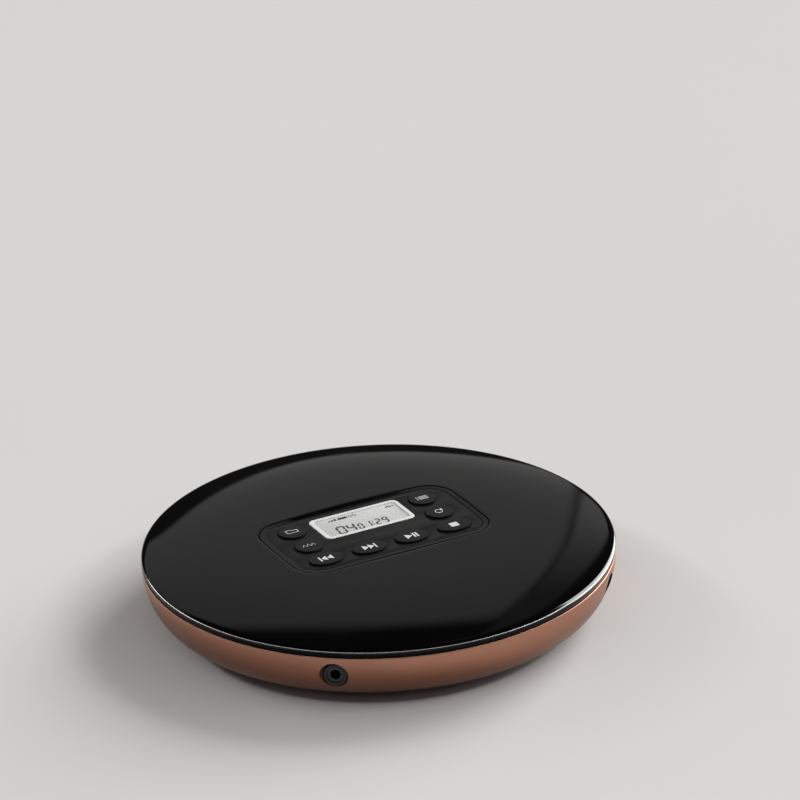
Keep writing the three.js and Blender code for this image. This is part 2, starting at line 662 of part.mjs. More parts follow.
const discClaw = () => common(
  block(5, 7.9, -1.05, 1.05, CLAW_Z - 0.45, CLAW_Z + 0.35),
  post(8.3, 15, 20, 0, 0, 20, 7.2),
);

function pickupSled() {
  const [y0, y1] = [LENS_Y - 5, LENS_Y + 9];
  return cut(
    join(
      block(-15, 13.2, y0, y1, 8.6, 11.8),
      block(-9, 9, y0 + 0.2, y1 - 1, 11.6, 13.9),
      prism(rackShape(LENS_Y - 3, LENS_Y + SLED_TRAVEL + 1), 9, 11),
    ),
    post(3.8, 12.9, 15, 0, LENS_Y, 16),
    rodY(ROD_BORE_R, y0 - 1, y1 + 1, MAIN_ROD_X, ROD_Z, 10),
    rodY(ROD_BORE_R, y0 - 1, y1 + 1, AUX_ROD_X, ROD_Z, 10),
  );
}

const pickupLens = () => turned([
  [0, 13.4], [3.2, 13.4], [3.2, 14.6], [2.6, 14.9], [0, 15.2],
], 14);

function driveGear() {
  return cut(
    join(
      prism(gearShape(LARGE_TEETH, 0, 0, PINION_ANGLE), 6.6, 8),
      post(3.2, 7.2, 10, 0, 0, 16),
      prism(gearShape(SMALL_TEETH, 0, 0, Math.PI), 9, 11.4),
    ),
    post(1.05, 5, 13, 0, 0, 14),
  );
}

function motorPinion() {
  const halfTooth = Math.PI / PINION_TEETH;
  return join(
    prism(gearShape(PINION_TEETH, 0, 0, PINION_ANGLE + Math.PI + halfTooth), 6.6, 8),
    post(0.8, 7, 9.2, 0, 0, 12),
  );
}

// ---------------------------------------------------------------- assembly
function place(parent, name, geometry, finish, { x = 0, y = 0, turn = 0 } = {}) {
  const mesh = new THREE.Mesh(geometry, new THREE.MeshStandardMaterial(FINISHES[finish]));
  mesh.name = name;
  mesh.position.set(x, y, 0);
  mesh.rotation.z = THREE.MathUtils.degToRad(turn);
  parent.add(mesh);
}

const player = new THREE.Group();
const base = new THREE.Group();
const lid = new THREE.Group();
const drive = new THREE.Group();
player.add(base, lid, drive);

place(base, "side_shell", sideShell(), "copper");
place(base, "bottom_cover", bottomCover(), "matte_black");
place(base, "tray_deck", trayDeck(), "matte_black");
FEET.forEach(([x, y], i) => place(base, `foot_${i + 1}`, foot(), "rubber_black", { x, y }));
SCREWS.forEach(([x, y], i) => place(base, `case_screw_${i + 1}`, caseScrew(), "steel", { x, y }));
place(base, "main_board", mainBoard(), "board_green");
place(base, "battery_pack", batteryPack(), "battery_blue");
place(base, "headphone_jack", jackSocket(), "matte_black", { turn: HEADPHONE_AT });
place(base, "line_out_jack", jackSocket(), "matte_black", { turn: LINE_OUT_AT });
place(base, "usb_socket", usbSocket(), "steel", { turn: USB_AT });
place(base, "volume_board", volumeBoard(), "board_green", { turn: (VOLUME_DOWN_AT + VOLUME_UP_AT) / 2 });
place(base, "hold_switch", holdSwitch(), "sled_black", { turn: HOLD_AT });
place(base, "hinge_bracket", hingeBracket(), "matte_black");
place(base, "hinge_pin", hingePin(), "steel");
place(base, "volume_down_key", volumeKey(), "key_black", { turn: VOLUME_DOWN_AT });
place(base, "volume_up_key", volumeKey(), "key_black", { turn: VOLUME_UP_AT });
place(base, "hold_knob", holdKnob(), "key_black", { turn: HOLD_AT });
place(base, "open_slide", openSlide(), "key_black");

place(lid, "lid_shell", lidShell(), "gloss_black");
place(lid, "lid_liner", lidLiner(), "matte_black");
place(lid, "lid_catch", lidCatch(), "sled_black");
place(lid, "keypad_bezel", keypadBezel(), "gloss_black");
place(lid, "keypad_plate", keypadPlate(), "key_black");
place(lid, "lcd_frame", lcdFrame(), "white_plastic");
place(lid, "lcd_window", lcdWindow(), "clear_plastic");
place(lid, "lcd_module", lcdModule(), "lcd_grey");
place(lid, "key_mat", keyMat(), "rubber_black");
place(lid, "lid_board", lidBoard(), "board_green");
place(lid, "lid_flex_cable", strip(CABLE_HALF, [
  [20.6, 20.65, 0, 1], [59.2, 20.65, 1, 1], [59.2, 19.2, 1, 1], [64.2, 19.2, 0, 1],
]), "flex_amber");
KEYS.forEach(([name, x, y, size]) => place(lid, name, keyCap(size), "key_black", { x, y }));

place(drive, "chassis_plate", chassisPlate(), "steel");
DAMPERS.forEach(([x, y], i) => place(drive, `damper_${i + 1}`, damper(), "rubber_black", { x, y }));
place(drive, "spindle_motor", spindleMotor(), "steel");
place(drive, "turntable", turntable(), "sled_black");
CLAW_TURNS.forEach((turn, i) => place(drive, `disc_claw_${i + 1}`, discClaw(), "gear_white", { turn }));
place(drive, "guide_rod_main", guideRod(MAIN_ROD_X), "steel");
place(drive, "guide_rod_aux", guideRod(AUX_ROD_X), "steel");
place(drive, "pickup_sled", pickupSled(), "sled_black");
place(drive, "pickup_lens", pickupLens(), "lens_glass", { y: LENS_Y });
place(drive, "sled_motor", sledMotor(), "steel", { x: PINION_X, y: PINION_Y });
place(drive, "motor_pinion", motorPinion(), "gear_white", { x: PINION_X, y: PINION_Y });
place(drive, "drive_gear", driveGear(), "gear_white", { x: GEAR_X, y: GEAR_Y });

export default player;
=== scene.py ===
"""Portable CD player: the looks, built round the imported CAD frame. Sizes are in mm until a mesh is made."""

import json
from math import cos, hypot, pi, radians, sin

import bmesh
import bpy
import numpy as np
from mathutils import Matrix, Vector


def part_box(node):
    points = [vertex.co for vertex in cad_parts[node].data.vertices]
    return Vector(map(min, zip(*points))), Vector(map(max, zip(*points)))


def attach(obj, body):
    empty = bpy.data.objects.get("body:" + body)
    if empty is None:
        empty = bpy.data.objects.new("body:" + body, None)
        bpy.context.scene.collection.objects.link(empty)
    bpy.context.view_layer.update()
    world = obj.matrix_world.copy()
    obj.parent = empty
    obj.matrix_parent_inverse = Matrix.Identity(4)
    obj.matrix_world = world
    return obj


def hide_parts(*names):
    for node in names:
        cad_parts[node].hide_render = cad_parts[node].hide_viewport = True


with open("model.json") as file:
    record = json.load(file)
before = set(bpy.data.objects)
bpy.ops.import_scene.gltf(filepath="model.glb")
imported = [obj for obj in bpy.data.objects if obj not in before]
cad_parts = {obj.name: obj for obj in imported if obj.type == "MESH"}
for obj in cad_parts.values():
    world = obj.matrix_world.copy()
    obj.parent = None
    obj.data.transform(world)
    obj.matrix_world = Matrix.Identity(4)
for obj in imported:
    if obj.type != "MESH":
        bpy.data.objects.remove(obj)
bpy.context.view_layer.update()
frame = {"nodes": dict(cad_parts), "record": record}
MM = 0.001
TAU = 2 * pi


def box_mm(node):
    """Lowest and highest corner of a CAD node, in millimetres."""
    low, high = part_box(node)
    return Vector(low) / MM, Vector(high) / MM


# --- sizes, from the frame (mm)
SHELL_LOW, SHELL_HIGH = box_mm("side_shell")
DECK_LOW, DECK_HIGH = box_mm("tray_deck")
COVER_LOW, COVER_HIGH = box_mm("bottom_cover")
PLATE_LOW, PLATE_HIGH = box_mm("keypad_plate")
LCD_LOW, LCD_HIGH = box_mm("lcd_frame")
BRACKET_LOW, BRACKET_HIGH = box_mm("hinge_bracket")
HUB_LOW = box_mm("turntable")[0]

BODY_R = box_mm("lid_shell")[1].x
PART_Z = SHELL_HIGH.z  # top edge of the metal wall
LID_Z = PART_Z + 0.3  # underside of the lid's rim
TOP_Z = 25.0
WALL = 1.5
DOME_FALL, DOME_R, DOME_POWER = 4.1, 70.0, 3.3  # the dome has fallen this far at this radius
DOME_EDGE_R = 68.9
RIM_TOP_Z = 19.9  # where the lid's upright rim starts to round over
RIM_LEAN = 0.35  # how far the rim draws in towards its lower edge
LINER_Z = 19.9

BOWL_R = 59.3  # inner edge of the metal wall at the bottom cover
BOWL_TOP_Z = PART_Z - 0.3
BOWL_BOTTOM_Z = SHELL_LOW.z

PAD_Y = 2.45  # centre of the keypad
PAD_HALF = (32.7, 19.35)
PAD_CORNER = 8.0
GROOVE = 0.36
BEZEL_W = 2.1
BEZEL_LEAN = 0.24  # how far the bezel falls towards the keypad
PLATE_Z = PLATE_HIGH.z + 0.1
KEY_TOP_Z = 24.96
KEY_CROWN = 0.04
KEY_FLANGE = 0.6
LCD_Y = (LCD_LOW.y + LCD_HIGH.y) / 2
LCD_W, LCD_H = LCD_HIGH.x - LCD_LOW.x, LCD_HIGH.y - LCD_LOW.y
CELL_Z = 24.3

HINGE_Y, HINGE_Z = 68.0, 16.4
KNUCKLE_R, KNUCKLE_HALF = 1.9, 13.2
LUG_FROM, LUG_TO = 13.6, 17.8
NOTCH_HALF = 18.5
DECK_NOTCH_HALF = min(20.0, (BRACKET_HIGH.x - BRACKET_LOW.x) / 2 + 0.5)
JACK_Z = 11.6
CONTROL_Z = 12.4
USB_Z = 10.9
HEADPHONE_AT, LINE_OUT_AT, USB_AT = -128.5, -42, 135
VOLUME_DOWN_AT, VOLUME_UP_AT, HOLD_AT = 24, 33, 58
LENS_Y, LENS_R = -25.0, 2.4
FLOOR_Z, WELL_R = 15.4, 61.2
SCOOP_X, SCOOP_R = 58.0, 8.6
HUB_R, DISC_Z = 7.35, 16.4
CLAWS_AT = (90, 210, 330)
SCREWS = [(x * 37.0, y * 34.5) for x, y in ((1, 1), (-1, 1), (-1, -1), (1, -1))]
FEET = [(0, -49), (49, 0), (0, 49), (-49, 0)]
LID_SCREWS = [(54 * cos(radians(a)), 54 * sin(radians(a))) for a in (45, 135, 225, 315)]

# --- camera
VIEW_AZIMUTH, VIEW_ELEVATION, VIEW_ROLL = (radians(a) for a in (-27.03, 24.44, -2.19))
VIEW_DISTANCE, VIEW_RIGHT, VIEW_UP = 1600, 6.43, 45.0
VIEW_LENS, SENSOR = 240.7, 36


def placed(name, data):
    """A new object in the scene."""
    piece = bpy.data.objects.new(name, data)
    bpy.context.scene.collection.objects.link(piece)
    return piece


def make_camera():
    """The photograph's viewpoint: from the front left, 24 degrees up, through a long lens."""
    flat = cos(VIEW_ELEVATION)
    back = Vector((sin(VIEW_AZIMUTH) * flat, -cos(VIEW_AZIMUTH) * flat, sin(VIEW_ELEVATION)))
    level = Vector((cos(VIEW_AZIMUTH), sin(VIEW_AZIMUTH), 0))
    rise = back.cross(level)
    right = cos(VIEW_ROLL) * level + sin(VIEW_ROLL) * rise
    up = -sin(VIEW_ROLL) * level + cos(VIEW_ROLL) * rise
    place = Vector((0, 0, PART_Z)) + back * VIEW_DISTANCE + right * VIEW_RIGHT + up * VIEW_UP
    data = bpy.data.cameras.new("camera")
    data.sensor_width, data.lens = SENSOR, VIEW_LENS
    data.clip_start, data.clip_end = 0.05, 60
    camera = placed("camera", data)
    camera.matrix_world = Matrix.Translation(place * MM) @ Matrix((right, up, back)).transposed().to_4x4()
    bpy.context.scene.camera = camera


# --- node maths
class Value:
    """A shader number that can be added, multiplied and compared like a plain one."""

    def __init__(self, tree, socket):
        self.tree, self.socket = tree, socket

    def math(self, operation, *others):
        node = self.tree.nodes.new("ShaderNodeMath")
        node.operation = operation
        feed(self.tree, zip(node.inputs, (self, *others)))
        return Value(self.tree, node.outputs[0])

    def __add__(self, other):
        return self.math("ADD", other)

    def __sub__(self, other):
        return self.math("SUBTRACT", other)

    def __mul__(self, other):
        return self.math("MULTIPLY", other)

    def ramp(self, low, high, start=0.0, end=1.0):
        """Goes smoothly from start to end as the value goes from low to high."""
        node = self.tree.nodes.new("ShaderNodeMapRange")
        node.interpolation_type = "SMOOTHSTEP"
        names = ("Value", "From Min", "From Max", "To Min", "To Max")
        feed(self.tree, ((node.inputs[name], v) for name, v in zip(names, (self, low, high, start, end))))
        return Value(self.tree, node.outputs[0])

    def band(self, low, high, soft):
        """One between low and high, with soft edges, and nothing outside."""
        return self.ramp(low - soft, low + soft) * self.ramp(high - soft, high + soft, 1.0, 0.0)


def feed(tree, pairs):
    """Links each Value to its socket, and writes each plain number into it."""
    for slot, value in pairs:
        if isinstance(value, Value):
            tree.links.new(value.socket, slot)
        else:
            slot.default_value = value


def set_inputs(node, **numbers):
    for name, number in numbers.items():
        node.inputs[name.replace("_", " ")].default_value = number


def axes_of(tree, output):
    """The x, y and z of a coordinate as three Values."""
    coordinates = tree.nodes.new("ShaderNodeTexCoord")
    split = tree.nodes.new("ShaderNodeSeparateXYZ")
    tree.links.new(coordinates.outputs[output], split.inputs[0])
    return [Value(tree, s) for s in split.outputs]


def noise(tree, scale, detail=3.0, stretch=(1, 1, 1), vector=None):
    """Noise in the object's own coordinates, as a Value from 0 to 1."""
    node = tree.nodes.new("ShaderNodeTexNoise")
    set_inputs(node, Scale=scale, Detail=detail, Roughness=0.5)
    mapping = tree.nodes.new("ShaderNodeMapping")
    set_inputs(mapping, Scale=stretch)
    if vector is None:
        vector = tree.nodes.new("ShaderNodeTexCoord").outputs["Object"]
    tree.links.new(vector, mapping.inputs["Vector"])
    tree.links.new(mapping.outputs[0], node.inputs["Vector"])
    return Value(tree, node.outputs["Fac"])


def cloud(tree, scale, detail, start=0.0, end=1.0):
    """Noise whose middle range is spread from start to end."""
    return noise(tree, scale, detail).ramp(0.3, 0.7, start, end)


def mixed(tree, share, first, second):
    """A colour between two colours. Either may be a socket."""
    node = tree.nodes.new("ShaderNodeMix")
    node.data_type = "RGBA"
    for slot, value in ((node.inputs[6], first), (node.inputs[7], second)):
        if isinstance(value, bpy.types.NodeSocket):
            tree.links.new(value, slot)
        else:
            slot.default_value = (*value, 1)
    tree.links.new(share.socket, node.inputs[0])
    return node.outputs[2]


def combine(tree, *parts):
    node = tree.nodes.new("ShaderNodeCombineXYZ")
    feed(tree, zip(node.inputs, parts))
    return node.outputs[0]


# --- materials
MATERIALS = {}


def blank(name):
    material = bpy.data.materials.new(name)
    material.use_nodes = True
    MATERIALS[name] = material
    return material.node_tree, material.node_tree.nodes["Principled BSDF"]


def finish(tree, shader, color, gloss, **numbers):
    """Links a colour and a roughness to the shader, and sets numbers on its other sockets."""
    tree.links.new(color, shader.inputs["Base Color"])
    tree.links.new(gloss.socket, shader.inputs["Roughness"])
    set_inputs(shader, **numbers)


def bump(tree, shader, height, distance, strength=1.0):
    node = tree.nodes.new("ShaderNodeBump")
    set_inputs(node, Distance=distance * MM, Strength=strength)
    tree.links.new(height.socket, node.inputs["Height"])
    tree.links.new(node.outputs[0], shader.inputs["Normal"])


def tint(color, times, plus=0.0):
    return tuple(min(1, c * times + plus) for c in color)


def worn(tree, color, light, amount):
    """Lightens a colour where the surface turns a sharp outside corner."""
    if amount <= 0:
        return color
    point = tree.nodes.new("ShaderNodeNewGeometry").outputs["Pointiness"]
    rub = Value(tree, point).ramp(0.52, 0.62) * noise(tree, 900, 4).ramp(0.35, 0.6) * amount
    return mixed(tree, rub, color, light)


def plastic(name, color, roughness, grain=0.0, grain_scale=5200, mottle=0.10, wear=0.12, gloss_vary=0.06,
            specular=0.5, **numbers):
    """Moulded plastic: faint flow mottling, fine spark-eroded grain, uneven gloss and rubbed corners."""
    tree, shader = blank(name)
    base = mixed(tree, cloud(tree, 95, 4), tint(color, 1 - mottle), tint(color, 1 + mottle, 0.002))
    uneven = cloud(tree, 260, 5, roughness - gloss_vary, roughness + gloss_vary)
    base = worn(tree, base, tint(color, 1.8, 0.03), wear)
    finish(tree, shader, base, uneven, Specular_IOR_Level=specular, **numbers)
    if grain:
        bump(tree, shader, noise(tree, grain_scale, 2) + noise(tree, grain_scale * 0.35, 2) * 0.6, grain)


def metal(name, color, roughness, brushed):
    """Metal with brushing lines: round the vertical axis, along x, along y, or none."""
    tree, shader = blank(name)
    x, y, z = axes_of(tree, "Object")
    fine, long = 9000, 160
    if brushed == "none":
        lines = noise(tree, 4200, 3)
    else:
        if brushed == "round":
            spread = (y.math("ARCTAN2", x) * 9, (x * x + y * y).math("SQRT") * fine)
        elif brushed == "x":
            spread = (x * long, y * fine)
        else:
            spread = (x * fine, y * long)
        lines = noise(tree, 1.0, 4, vector=combine(tree, *spread, z * fine))
    share = noise(tree, 70, 4) * 0.6 + lines * 0.4
    base = mixed(tree, share.ramp(0.3, 0.7), tint(color, 0.95), tint(color, 1.05))
    uneven = (lines * 0.7 + noise(tree, 180, 4) * 0.3).ramp(0.25, 0.75, roughness * 0.82, roughness * 1.2)
    finish(tree, shader, worn(tree, base, tint(color, 1.25, 0.06), 0.1), uneven, Metallic=1.0)
    bump(tree, shader, lines, 0.004, 0.6)


def piano_black():
    """High-gloss moulded black: hairline swirls and a little dust in the gloss, almost no diffuse."""
    tree, shader = blank("piano_black")
    base = mixed(tree, cloud(tree, 60, 3), (0.0007, 0.0007, 0.0008), (0.0013, 0.0013, 0.0014))
    dust = noise(tree, 3200, 1).ramp(0.80, 0.86)
    x, y, z = axes_of(tree, "Object")
    radius = (x * x + y * y).math("SQRT")
    swirl = noise(tree, 1.0, 3, vector=combine(tree, y.math("ARCTAN2", x) * 3, radius * 2600, z * 300))
    haze = noise(tree, 40, 5).ramp(0.35, 0.7, 0.035, 0.075) + swirl.ramp(0.62, 0.8, 0.0, 0.03)
    finish(tree, shader, mixed(tree, dust * 0.35, base, (0.09, 0.09, 0.09)), haze, IOR=1.5)
    bump(tree, shader, noise(tree, 22, 2), 0.02, 0.12)


def copper_anodised():
    """Anodised aluminium in a copper brown: spun lines, a fine blasted grain, rubbed edges lightened in a
    pale pink that is partly painted highlight, and painted shade that makes it darker below.
    """
    tree, shader = blank("copper_anodised")
    x, y, z = axes_of(tree, "Object")
    lines = noise(tree, 1.0, 3, vector=combine(tree, y.math("ARCTAN2", x) * 8, z * 5200, 0.0))
    blast = noise(tree, 5200, 2)
    tone = (noise(tree, 42, 4) * 0.5 + lines * 0.3 + blast * 0.2).ramp(0.3, 0.7)
    # Painted shade: below is a darker copper for the lower wall and above a lighter one for the upper wall,
    # blended by height.
    below = mixed(tree, tone, (0.222, 0.097, 0.061), (0.276, 0.123, 0.078))
    above = mixed(tree, tone, (0.436, 0.204, 0.136), (0.510, 0.247, 0.166))
    base = mixed(tree, (z * 1000.0).ramp(7.0, 18.0), below, above)
    uneven = (blast * 0.5 + lines * 0.5).ramp(0.3, 0.7, 0.30, 0.42)
    # The rubbed edges turn a pale pink: partly wear, partly a painted highlight.
    finish(tree, shader, worn(tree, base, (0.78, 0.66, 0.61), 0.6), uneven, Metallic=1.0)
    bump(tree, shader, blast * 0.6 + lines * 0.4, 0.006, 0.7)


def lcd_glass():
    """The liquid-crystal cell: grey-green with a little speckle, and painted shade that darkens it towards
    the front and the sides.
    """
    tree, shader = blank("lcd_cell")
    x, y, _ = axes_of(tree, "Object")
    # Painted shade: the cell is lighter towards the back and darker towards the front, and darker again
    # towards its left and right edges.
    base = mixed(tree, (y * 1000.0).ramp(4, 17), (0.66, 0.685, 0.665), (0.76, 0.775, 0.76))
    base = mixed(tree, x.math("ABSOLUTE").ramp(0.009, 0.0138) * 0.15, base, (0.46, 0.48, 0.47))
    base = mixed(tree, noise(tree, 2600, 2).ramp(0.35, 0.65) * 0.03, base, (0.30, 0.33, 0.31))
    finish(tree, shader, base, cloud(tree, 900, 3, 0.22, 0.34), Specular_IOR_Level=0.3)


def clear_window():
    """A thin acrylic window: almost invisible, with a weak gloss and a few hairlines."""
    tree, shader = blank("clear_window")
    base = mixed(tree, noise(tree, 120, 3), (0.82, 0.85, 0.84), (0.90, 0.92, 0.92))
    hairlines = noise(tree, 700, 4).ramp(0.3, 0.75, 0.04, 0.12)
    finish(tree, shader, base, hairlines, Alpha=0.03, Specular_IOR_Level=0.2, IOR=1.49)


def lens_glass():
    """The coated objective lens: deep blue-violet that turns greener towards the rim."""
    tree, shader = blank("coated_lens")
    x, y, _ = axes_of(tree, "Object")
    y = y + (-LENS_Y * MM)
    radius = (x * x + y * y).math("SQRT") * 1000.0
    base = mixed(tree, radius.ramp(0.4, 2.4), (0.02, 0.03, 0.16), (0.05, 0.10, 0.12))
    base = mixed(tree, noise(tree, 900, 2).ramp(0.4, 0.7) * 0.2, base, (0.10, 0.04, 0.16))
    finish(tree, shader, base, cloud(tree, 1400, 3, 0.03, 0.07), Coat_Weight=0.6)


def circuit_board():
    """Solder mask over copper tracks, with the weave of the laminate under it."""
    tree, shader = blank("circuit_board")
    tracks = tree.nodes.new("ShaderNodeTexVoronoi")
    tracks.distance, tracks.feature = "MANHATTAN", "F1"
    set_inputs(tracks, Scale=420)
    tree.links.new(tree.nodes.new("ShaderNodeTexCoord").outputs["Object"], tracks.inputs["Vector"])
    line = Value(tree, tracks.outputs["Distance"]).math("FRACT").ramp(0.46, 0.52)
    weave = noise(tree, 2400, 2, stretch=(1, 4, 1))
    base = mixed(tree, line, (0.010, 0.075, 0.030), (0.022, 0.150, 0.060))
    base = mixed(tree, weave.ramp(0.4, 0.6) * 0.25, base, (0.006, 0.050, 0.020))
    finish(tree, shader, base, weave.ramp(0.3, 0.7, 0.30, 0.42))
    bump(tree, shader, line, 0.03, 0.6)


def battery_film():
    """Shrink film on the cell: blue, lightly wrinkled."""
    tree, shader = blank("battery_film")
    wrinkle = noise(tree, 160, 5, stretch=(1, 3, 1))
    base = mixed(tree, wrinkle.ramp(0.35, 0.65), (0.014, 0.055, 0.200), (0.028, 0.100, 0.310))
    finish(tree, shader, base, wrinkle.ramp(0.3, 0.7, 0.22, 0.38))
    bump(tree, shader, wrinkle, 0.15, 0.6)


def flex_film():
    """Polyimide film with its tracks showing as stripes along the cable."""
    tree, shader = blank("flex_film")
    stripe = (axes_of(tree, "Object")[0] * 1400.0).math("FRACT").ramp(0.45, 0.55)
    base = mixed(tree, stripe, (0.36, 0.14, 0.022), (0.52, 0.25, 0.060))
    base = mixed(tree, noise(tree, 300, 3).ramp(0.4, 0.7) * 0.3, base, (0.28, 0.10, 0.018))
    finish(tree, shader, base, cloud(tree, 500, 3, 0.25, 0.4))
    bump(tree, shader, stripe, 0.02, 0.5)


def printed_ink(name, color):
    """Pad-printed ink: slightly uneven cover and a matt surface."""
    tree, shader = blank(name)
    base = mixed(tree, noise(tree, 2600, 3).ramp(0.35, 0.6), tint(color, 0.9), color)
    finish(tree, shader, base, cloud(tree, 3000, 2, 0.45, 0.62))


def make_materials():
    piano_black()
    copper_anodised()
    lcd_glass()
    clear_window()
    lens_glass()
    circuit_board()
    battery_film()
    flex_film()
    printed_ink("white_ink", (0.86, 0.86, 0.85))
    printed_ink("segment_black", (0.006, 0.007, 0.007))
    smooth = {"grain": 0.004, "wear": 0.0, "gloss_vary": 0.04}
    plastic("panel_black", (0.0045, 0.0045, 0.0048), 0.28, specular=0.33, **smooth)
    plastic("key_black", (0.0060, 0.0060, 0.0064), 0.30, specular=0.36, **smooth)
    plastic("matte_black", (0.012, 0.012, 0.013), 0.52, grain=0.020, grain_scale=2600, wear=0.18)
    plastic("rubber_black", (0.014, 0.014, 0.014), 0.78, grain=0.012, wear=0.05, specular=0.3)
    plastic("dark_plastic", (0.018, 0.018, 0.020), 0.42, grain=0.008, wear=0.15)
    plastic("frame_white", (0.93, 0.935, 0.94), 0.26, grain=0.003, mottle=0.03, wear=0.0, gloss_vary=0.05)
    plastic("gear_white", (0.72, 0.70, 0.62), 0.40, grain=0.004, mottle=0.05, wear=0.0)
    # shadow_black is painted shade: a near-black that barely reflects, for walls, gaps and edges that lie in
    # shade.
    plastic("shadow_black", (0.003, 0.003, 0.003), 0.7, grain=0.006, wear=0.0, specular=0.12)
    # rim_shade_black is painted shade: the gloss black with its reflection turned down, so the lid's upright
    # rim stays dark.
    plastic("rim_shade_black", (0.003, 0.003, 0.003), 0.16, wear=0.0, gloss_vary=0.03, specular=0.06)
    # fillet_highlight_black is a painted highlight: the gloss black made far more reflective, for a brighter
    # line on the rim's rounding.
    plastic("fillet_highlight_black", (0.002, 0.002, 0.002), 0.14, wear=0.0, gloss_vary=0.03, specular=1.0, IOR=2.0)
    metal("steel_round", (0.60, 0.61, 0.62), 0.26, "round")
    metal("steel_x", (0.60, 0.61, 0.62), 0.28, "x")
    metal("steel_y", (0.62, 0.63, 0.64), 0.22, "y")
    metal("steel_blasted", (0.56, 0.57, 0.58), 0.36, "none")
    # copper_edge_highlight is a painted highlight: a lighter copy of the copper for the wall's top chamfer.
    metal("copper_edge_highlight", (0.56, 0.35, 0.27), 0.36, "round")
    metal("steel_dark", (0.115, 0.115, 0.120), 0.34, "none")
    metal("gold_contact", (0.80, 0.56, 0.22), 0.24, "none")


# --- mesh tools
def crease(piece, limit=radians(34)):
    """Points the faces outwards and shades them smooth, except across edges sharper than the limit."""
    work = bmesh.new()
    work.from_mesh(piece.data)
    bmesh.ops.recalc_face_normals(work, faces=work.faces)
    for face in work.faces:
        face.smooth = True
    for edge in work.edges:
        edge.smooth = len(edge.link_faces) == 2 and edge.calc_face_angle(0.0) < limit
    work.to_mesh(piece.data)
    work.free()
    return piece


def mesh_piece(name, points, faces, material, place=None):
    """A smooth-shaded object from points in millimetres."""
    mesh = bpy.data.meshes.new(name)
    points = np.asarray(points, float) * MM
    mesh.from_pydata(points.tolist(), [], [list(map(int, f)) for f in faces])
    mesh.validate()
    if place is not None:
        mesh.transform(place)
    mesh.materials.append(MATERIALS[material])
    return crease(placed(name, mesh))


def turn_z(degrees):
    return Matrix.Rotation(radians(degrees), 4, "Z")


def shift(x, y, z=0.0):
    return Matrix.Translation(Vector((x, y, z)) * MM)


# a flat shape's x, y, z become y, z, x
ALONG_X = Matrix(((0, 0, 1, 0), (1, 0, 0, 0), (0, 1, 0, 0), (0, 0, 0, 1)))
SWAP_XY = Matrix(((0, 1, 0, 0), (1, 0, 0, 0), (0, 0, 1, 0), (0, 0, 0, 1)))
Z_TO_X = Matrix.Rotation(pi / 2, 4, "Y")


def loft(name, rings, material, place=None, closed=False):
    """Skins rings of points. An open loft is capped by fans, and a closed one joins its end to its start."""
    rings = [np.asarray(r, float) for r in rings]
    rows, count = len(rings), len(rings[0])
    points = np.concatenate(rings)
    faces = []
    for i in range(rows if closed else rows - 1):
        here, above = i * count, (i + 1) % rows * count
        faces += [(here + j, here + (j + 1) % count, above + (j + 1) % count, above + j)
            for j in range(count)]
    if not closed:
        first = len(points)
        points = np.concatenate([points, [rings[0].mean(0), rings[-1].mean(0)]])
        base = (rows - 1) * count
        faces += [(first, (j + 1) % count, j) for j in range(count)]
        faces += [(first + 1, base + j, base + (j + 1) % count) for j in range(count)]
    return mesh_piece(name, points, faces, material, place)


def tone_rows(piece, count, rows, material):
    """Gives the faces of some rows of a loft, counted round it, a material of their own."""
    piece.data.materials.append(MATERIALS[material])
    for face in piece.data.polygons[:]:
        if face.index // count in rows:
            face.material_index = len(piece.data.materials) - 1


def turned(name, profile, material, place=None, segments=192):
    """A solid of revolution about Z. A profile that starts and ends on the axis is closed there."""
    on_axis = profile[0][0] == 0
    angles = np.arange(segments) * TAU / segments
    inner = profile[1:-1] if on_axis else profile
    rings = [np.stack([r * np.cos(angles), r * np.sin(angles), np.full(segments, z)], 1) for r, z in inner]
    if not on_axis:
        return loft(name, rings, material, place, closed=True)
    piece = loft(name, rings, material, place)
    count = len(rings) * segments
    for i, (_, z) in enumerate((profile[0], profile[-1])):
        end = Vector((0, 0, z * MM))
        piece.data.vertices[count + i].co = place @ end if place else end
    return crease(piece)


def spun(profile, x, y, segments=40, material="matte_black"):
    """A turned solid that stands at x, y and goes into another piece."""
    return turned("spun", profile, material, shift(x, y), segments)


def above(z, rows):
    """A profile whose heights are given from a base line."""
    return [(r, z + h) for r, h in rows]


def rod(radius, z0, z1, x, y, segments=40, material="matte_black", bore=0):
    return spun([(bore, z0), (radius, z0), (radius, z1), (bore, z1)], x, y, segments, material)


def settled(thing):
    """The mesh of an object or curve as its modifiers leave it."""
    bpy.context.view_layer.update()
    return bpy.data.meshes.new_from_object(thing.evaluated_get(bpy.context.evaluated_depsgraph_get()))


def prism(name, outline, holes, z0, z1, material, place=None, bevel=0.12, round_steps=3):
    """A flat plate with holes and softly rounded edges."""
    curve = bpy.data.curves.new(name, "CURVE")
    curve.dimensions, curve.fill_mode = "2D", "BOTH"
    curve.extrude = max((z1 - z0) / 2 - bevel, 0.001) * MM
    curve.bevel_depth, curve.bevel_resolution = bevel * MM, round_steps
    curve.offset = -bevel * MM
    for loop in (outline, *holes):
        spline = curve.splines.new("POLY")
        spline.points.add(len(loop) - 1)
        for point, (x, y) in zip(spline.points, loop):
            point.co = (x * MM, y * MM, 0, 1)
        spline.use_cyclic_u = True
    holder = placed(name + "_curve", curve)
    mesh = settled(holder)
    mesh.name = name
    bpy.data.objects.remove(holder)
    mesh.transform(Matrix.Translation((0, 0, (z0 + z1) / 2 * MM)))
    if place is not None:
        mesh.transform(place)
    mesh.materials.clear()
    mesh.materials.append(MATERIALS[material])
    work = bmesh.new()
    work.from_mesh(mesh)
    bmesh.ops.remove_doubles(work, verts=work.verts, dist=1e-7)
    work.to_mesh(mesh)
    work.free()
    return crease(placed(name, mesh))


